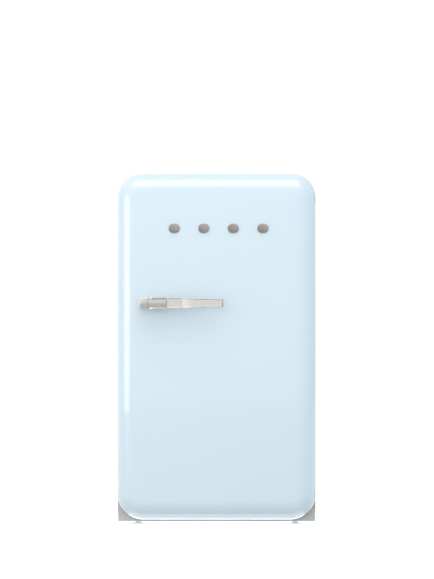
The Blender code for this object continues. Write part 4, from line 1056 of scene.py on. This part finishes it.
def screw(point, axis, radius=0.0032):
    """A pan head with a dished top, standing on the point."""
    height = 0.55 * radius
    profile = [(0.0, 0.0), (radius, 0.0), (radius, 0.35 * height), (0.86 * radius, 0.8 * height)]
    profile += [(0.5 * radius, height), (0.28 * radius, 0.62 * height), (0.0, 0.55 * height)]
    shape = turned(profile, "Z", (0, 0, 0), 20)
    turn = Vector(axis).to_track_quat("Z", "Y").to_matrix().to_4x4()
    bmesh.ops.transform(shape, matrix=Matrix.Translation(Vector(point)) @ turn, verts=shape.verts[:])
    return shape


def fasteners():
    """Screws round the rear panel and on the hinge plates, and beads that stiffen the rear panel."""
    low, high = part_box("rear_panel")
    face = high.y + 0.0001
    places = []
    for z in (low.z + 0.016, 0.40, 0.60, 0.78):
        places += [(low.x + 0.012, face, z), (high.x - 0.012, face, z)]
    places += [(x, face, high.z - 0.013) for x in (-0.16, 0.0, 0.16)]
    places += [(x, face, low.z + 0.012) for x in (-0.10, 0.10)]
    piece("rear_screws", combined(*[screw(p, (0, 1, 0)) for p in places]), "zinc_steel", "cabinet")
    beads, bead_y = [], (high.y - 0.0004, high.y + 0.0026)
    for z in (0.330, 0.480, 0.630, 0.780):
        beads.append(block((-0.205, 0.205), bead_y, (z - 0.007, z + 0.007), 0.0024, 4))
    piece("rear_beads", combined(*beads), "zinc_steel", "cabinet")
    heads = []
    front = CABINET_FRONT - GAP - 0.0015
    for part in HINGES:
        low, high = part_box("hinge_bracket_" + part)
        for z in (low.z + 0.006, high.z - 0.006):
            heads.append(screw((high.x - 0.0045, front, z), (0, -1, 0), 0.0028))
    piece("hinge_screws", combined(*heads), "zinc_steel", "cabinet")
    lugs = []
    for name in BALCONIES:
        low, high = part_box(name)
        for side in (-1, 1):
            x = sorted((side * (high.x + 0.0006), side * (high.x + 0.0032)))
            lugs.append(block(x, (low.y + 0.014, low.y + 0.030), (low.z + 0.010, low.z + 0.050), 0.0009, 2))
    piece("balcony_lugs", combined(*lugs), "white_plastic", "door")


def machinery():
    """The sealed compressor: two drawn halves, a weld seam and a stub for filling."""
    low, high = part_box("compressor")
    x, y = (low.x + high.x) / 2, (low.y + high.y) / 2
    radius, height = (high.x - low.x) / 2 / 1.04, high.z - low.z
    seam, lip = low.z + 0.52 * height, 0.02 * height
    profile = []
    for i in range(13):
        t = math.pi / 2 * i / 12
        profile.append((radius * math.sin(t) ** 0.55, seam - lip - 0.50 * height * math.cos(t) ** 0.8))
    profile += [(radius * 1.03, seam - lip), (radius * 1.035, seam), (radius * 1.03, seam + lip)]
    for i in range(13):
        t = math.pi / 2 * (1 - i / 12)
        level = seam + lip + 0.46 * height * math.cos(t) ** 0.75
        profile.append((radius * 0.985 * math.sin(t) ** 0.60, level))
    shell = turned(profile, "Z", (x, y, 0))
    piece("compressor_shell", shell, "black_enamel", "cabinet", ["compressor"], angle=50)
    stub = [(x - 0.02, y - radius * 0.86, seam + 0.010), (x - 0.02, y - radius - 0.012, seam + 0.012)]
    stub += [(x - 0.02, y - radius - 0.013, seam + 0.035)]
    wire("filling_stub", stub, 0.0026, "copper", "cabinet")


# ---------------------------------------------------------------- stage, lights and camera
def flat_sheet(name, corners, level, material):
    """A flat face at a level, on the stage."""
    shape = bmesh.new()
    shape.faces.new([shape.verts.new((x, y, level)) for x, y in corners])
    made = placed(name, mesh_of(name, shape))
    made.data.materials.append(material)
    return made


def floor():
    """A wide pale floor."""
    far = FLOOR_HALF
    flat_sheet("floor", ((-far, -far), (far, -far), (far, far), (-far, far)), 0.0, floor_paper())


def lit_level(tree, diffuse, glossy, seen):
    """One brightness for diffuse light, one for mirrored light and one for what is seen."""
    ray = node(tree, "ShaderNodeLightPath")
    result = seen
    for kind, value in (("Is Glossy Ray", glossy), ("Is Diffuse Ray", diffuse)):
        mix = node(tree, "ShaderNodeMix", data_type="FLOAT")
        tree.links.new(ray.outputs[kind], mix.inputs[0])
        for socket, level in ((mix.inputs[2], result), (mix.inputs[3], value)):
            if isinstance(level, float):
                socket.default_value = level
            else:
                tree.links.new(level, socket)
        result = mix.outputs[0]
    return result


def split_axes(tree, output):
    """The three parts of a texture coordinate."""
    place = node(tree, "ShaderNodeTexCoord")
    split = node(tree, "ShaderNodeSeparateXYZ")
    tree.links.new(place.outputs[output], split.inputs[0])
    return split.outputs


def floor_paper():
    """White paper on a light table."""
    made, tree, shader = tree_of("floor_paper")
    grain = noise(tree, coordinates(tree), 3.0)
    tree.links.new(ranged(tree, grain, FLOOR_SHADE, FLOOR_SHADE + 0.01), shader.inputs["Base Color"])
    settled(shader, {"Roughness": 0.9, "Specular_IOR_Level": 0.0, "Emission_Color": (*WHITE, 1.0)})
    mirrored = ranged(tree, split_axes(tree, "Object")["Y"], FLOOR_FRONT, FLOOR_GLOW, FLOOR_CHANGE)
    tree.links.new(lit_level(tree, FLOOR_DIM, mirrored, FLOOR_GLOW), shader.inputs["Emission Strength"])
    return made


def sky():
    """Studio white, brighter on the left; its light on matt surfaces is dimmer in the middle."""
    world = bpy.data.worlds.new("studio")
    world.use_nodes = True
    bpy.context.scene.world = world
    tree = world.node_tree
    back = tree.nodes["Background"]
    axes = split_axes(tree, "Generated")
    seen = ranged(tree, axes["X"], SKY + SKY_LEAN, SKY - SKY_LEAN, (-1.0, 1.0))
    side = node(tree, "ShaderNodeMath", operation="ABSOLUTE")
    tree.links.new(axes["X"], side.inputs[0])
    spread = ranged(tree, side.outputs[0], SKY_MIDDLE, SKY_SIDE, (0.0, 1.0))
    lean = ranged(tree, axes["X"], 1.0 + SKY_LEAN / 2, 1.0 - SKY_LEAN / 2, (-1.0, 1.0))
    lit = node(tree, "ShaderNodeMath", operation="MULTIPLY")
    tree.links.new(spread, lit.inputs[0])
    tree.links.new(lean, lit.inputs[1])
    tree.links.new(lit_level(tree, lit.outputs[0], seen, seen), back.inputs["Strength"])
    back.inputs["Color"].default_value = (*WHITE, 1.0)


def softbox(name, place, aim, size, glow, tint=WHITE, mirrored=True, lit=True):
    """An area light of a stated brightness, seen in reflections, falling on matt surfaces, or both."""
    lamp = bpy.data.lights.new(name, "AREA")
    lamp.shape = "RECTANGLE"
    lamp.size, lamp.size_y = size
    lamp.energy = glow * math.pi * size[0] * size[1]
    lamp.color = tint
    made = placed(name, lamp)
    made.location = place
    made.rotation_mode = "QUATERNION"
    made.rotation_quaternion = (Vector(aim) - Vector(place)).to_track_quat("-Z", "Y")
    made.visible_camera = False
    made.visible_glossy = mirrored
    made.visible_diffuse = lit


def light_table():
    """A bright strip under the body, seen only as the reflection along the door's lower edge."""
    glow, _, shader = tree_of("light_table")
    settled(shader, {"Base_Color": (0.0, 0.0, 0.0, 1.0), "Emission_Color": (0.96, 0.98, 1.0, 1.0)})
    settled(shader, {"Emission_Strength": TABLE_GLOW})
    table = flat_sheet("light_table", TABLE_CORNERS, TABLE_LIFT, glow)
    for hidden in ("visible_camera", "visible_diffuse", "visible_shadow", "visible_transmission"):
        setattr(table, hidden, False)


def lights():
    """Soft boxes above, at both sides and in front."""
    light_table()
    softbox("top_box", (0.0, -1.70, 2.98), TOP_EDGE, (2.5, 1.6), 2.8, WARM, lit=False)
    softbox("top_fill", (0.0, -1.575, 3.06), TOP_EDGE, (2.5, 1.9), 1.6, WARM, mirrored=False)
    softbox("left_strip", (-1.83, -1.45, 0.635), LEFT_EDGE, (1.15, 0.70), 3.2, WARM, lit=False)
    softbox("left_fill", (-1.83, -1.45, 0.635), LEFT_EDGE, (1.15, 1.60), 2.0, mirrored=False)
    softbox("right_fill", (1.90, -1.00, 0.635), RIGHT_EDGE, (1.0, 1.6), 0.9, COOL, mirrored=False)
    softbox("front_box", (-0.3, -4.2, 0.9), DOOR_MIDDLE, (3.4, 3.0), 1.45, mirrored=False)


def camera():
    """A long lens, straight on."""
    lens = bpy.data.cameras.new("camera")
    lens.type = "PERSP"
    lens.sensor_width = SENSOR
    lens.lens = SENSOR * CAMERA_DISTANCE / VIEW_HEIGHT
    lens.clip_end = FAR_CLIP
    made = placed("camera", lens)
    made.location = (CAMERA_X, CAMERA_PLANE - CAMERA_DISTANCE, CAMERA_Z)
    made.rotation_euler = (math.radians(90.0), 0.0, 0.0)
    bpy.context.scene.camera = made


def picture():
    """Plain colours, without a film curve."""
    settings = bpy.context.scene.view_settings
    settings.view_transform = "Standard"
    settings.look = "None"


def build():
    """The whole scene, the object first."""
    door_panel()
    for part in HINGES:
        hinge_liner(part)
    door_seal()
    door_back()
    for name, rail in BALCONIES.items():
        balcony(name, rail)
    handle_base()
    lever()
    ornaments()
    cabinet_wrap()
    cabinet_nodes()
    front_feet()
    tub()
    shelf_trims()
    crisper()
    ice_box_details()
    thermostat()
    fasteners()
    machinery()
    floor()
    sky()
    lights()
    camera()
    picture()


build()
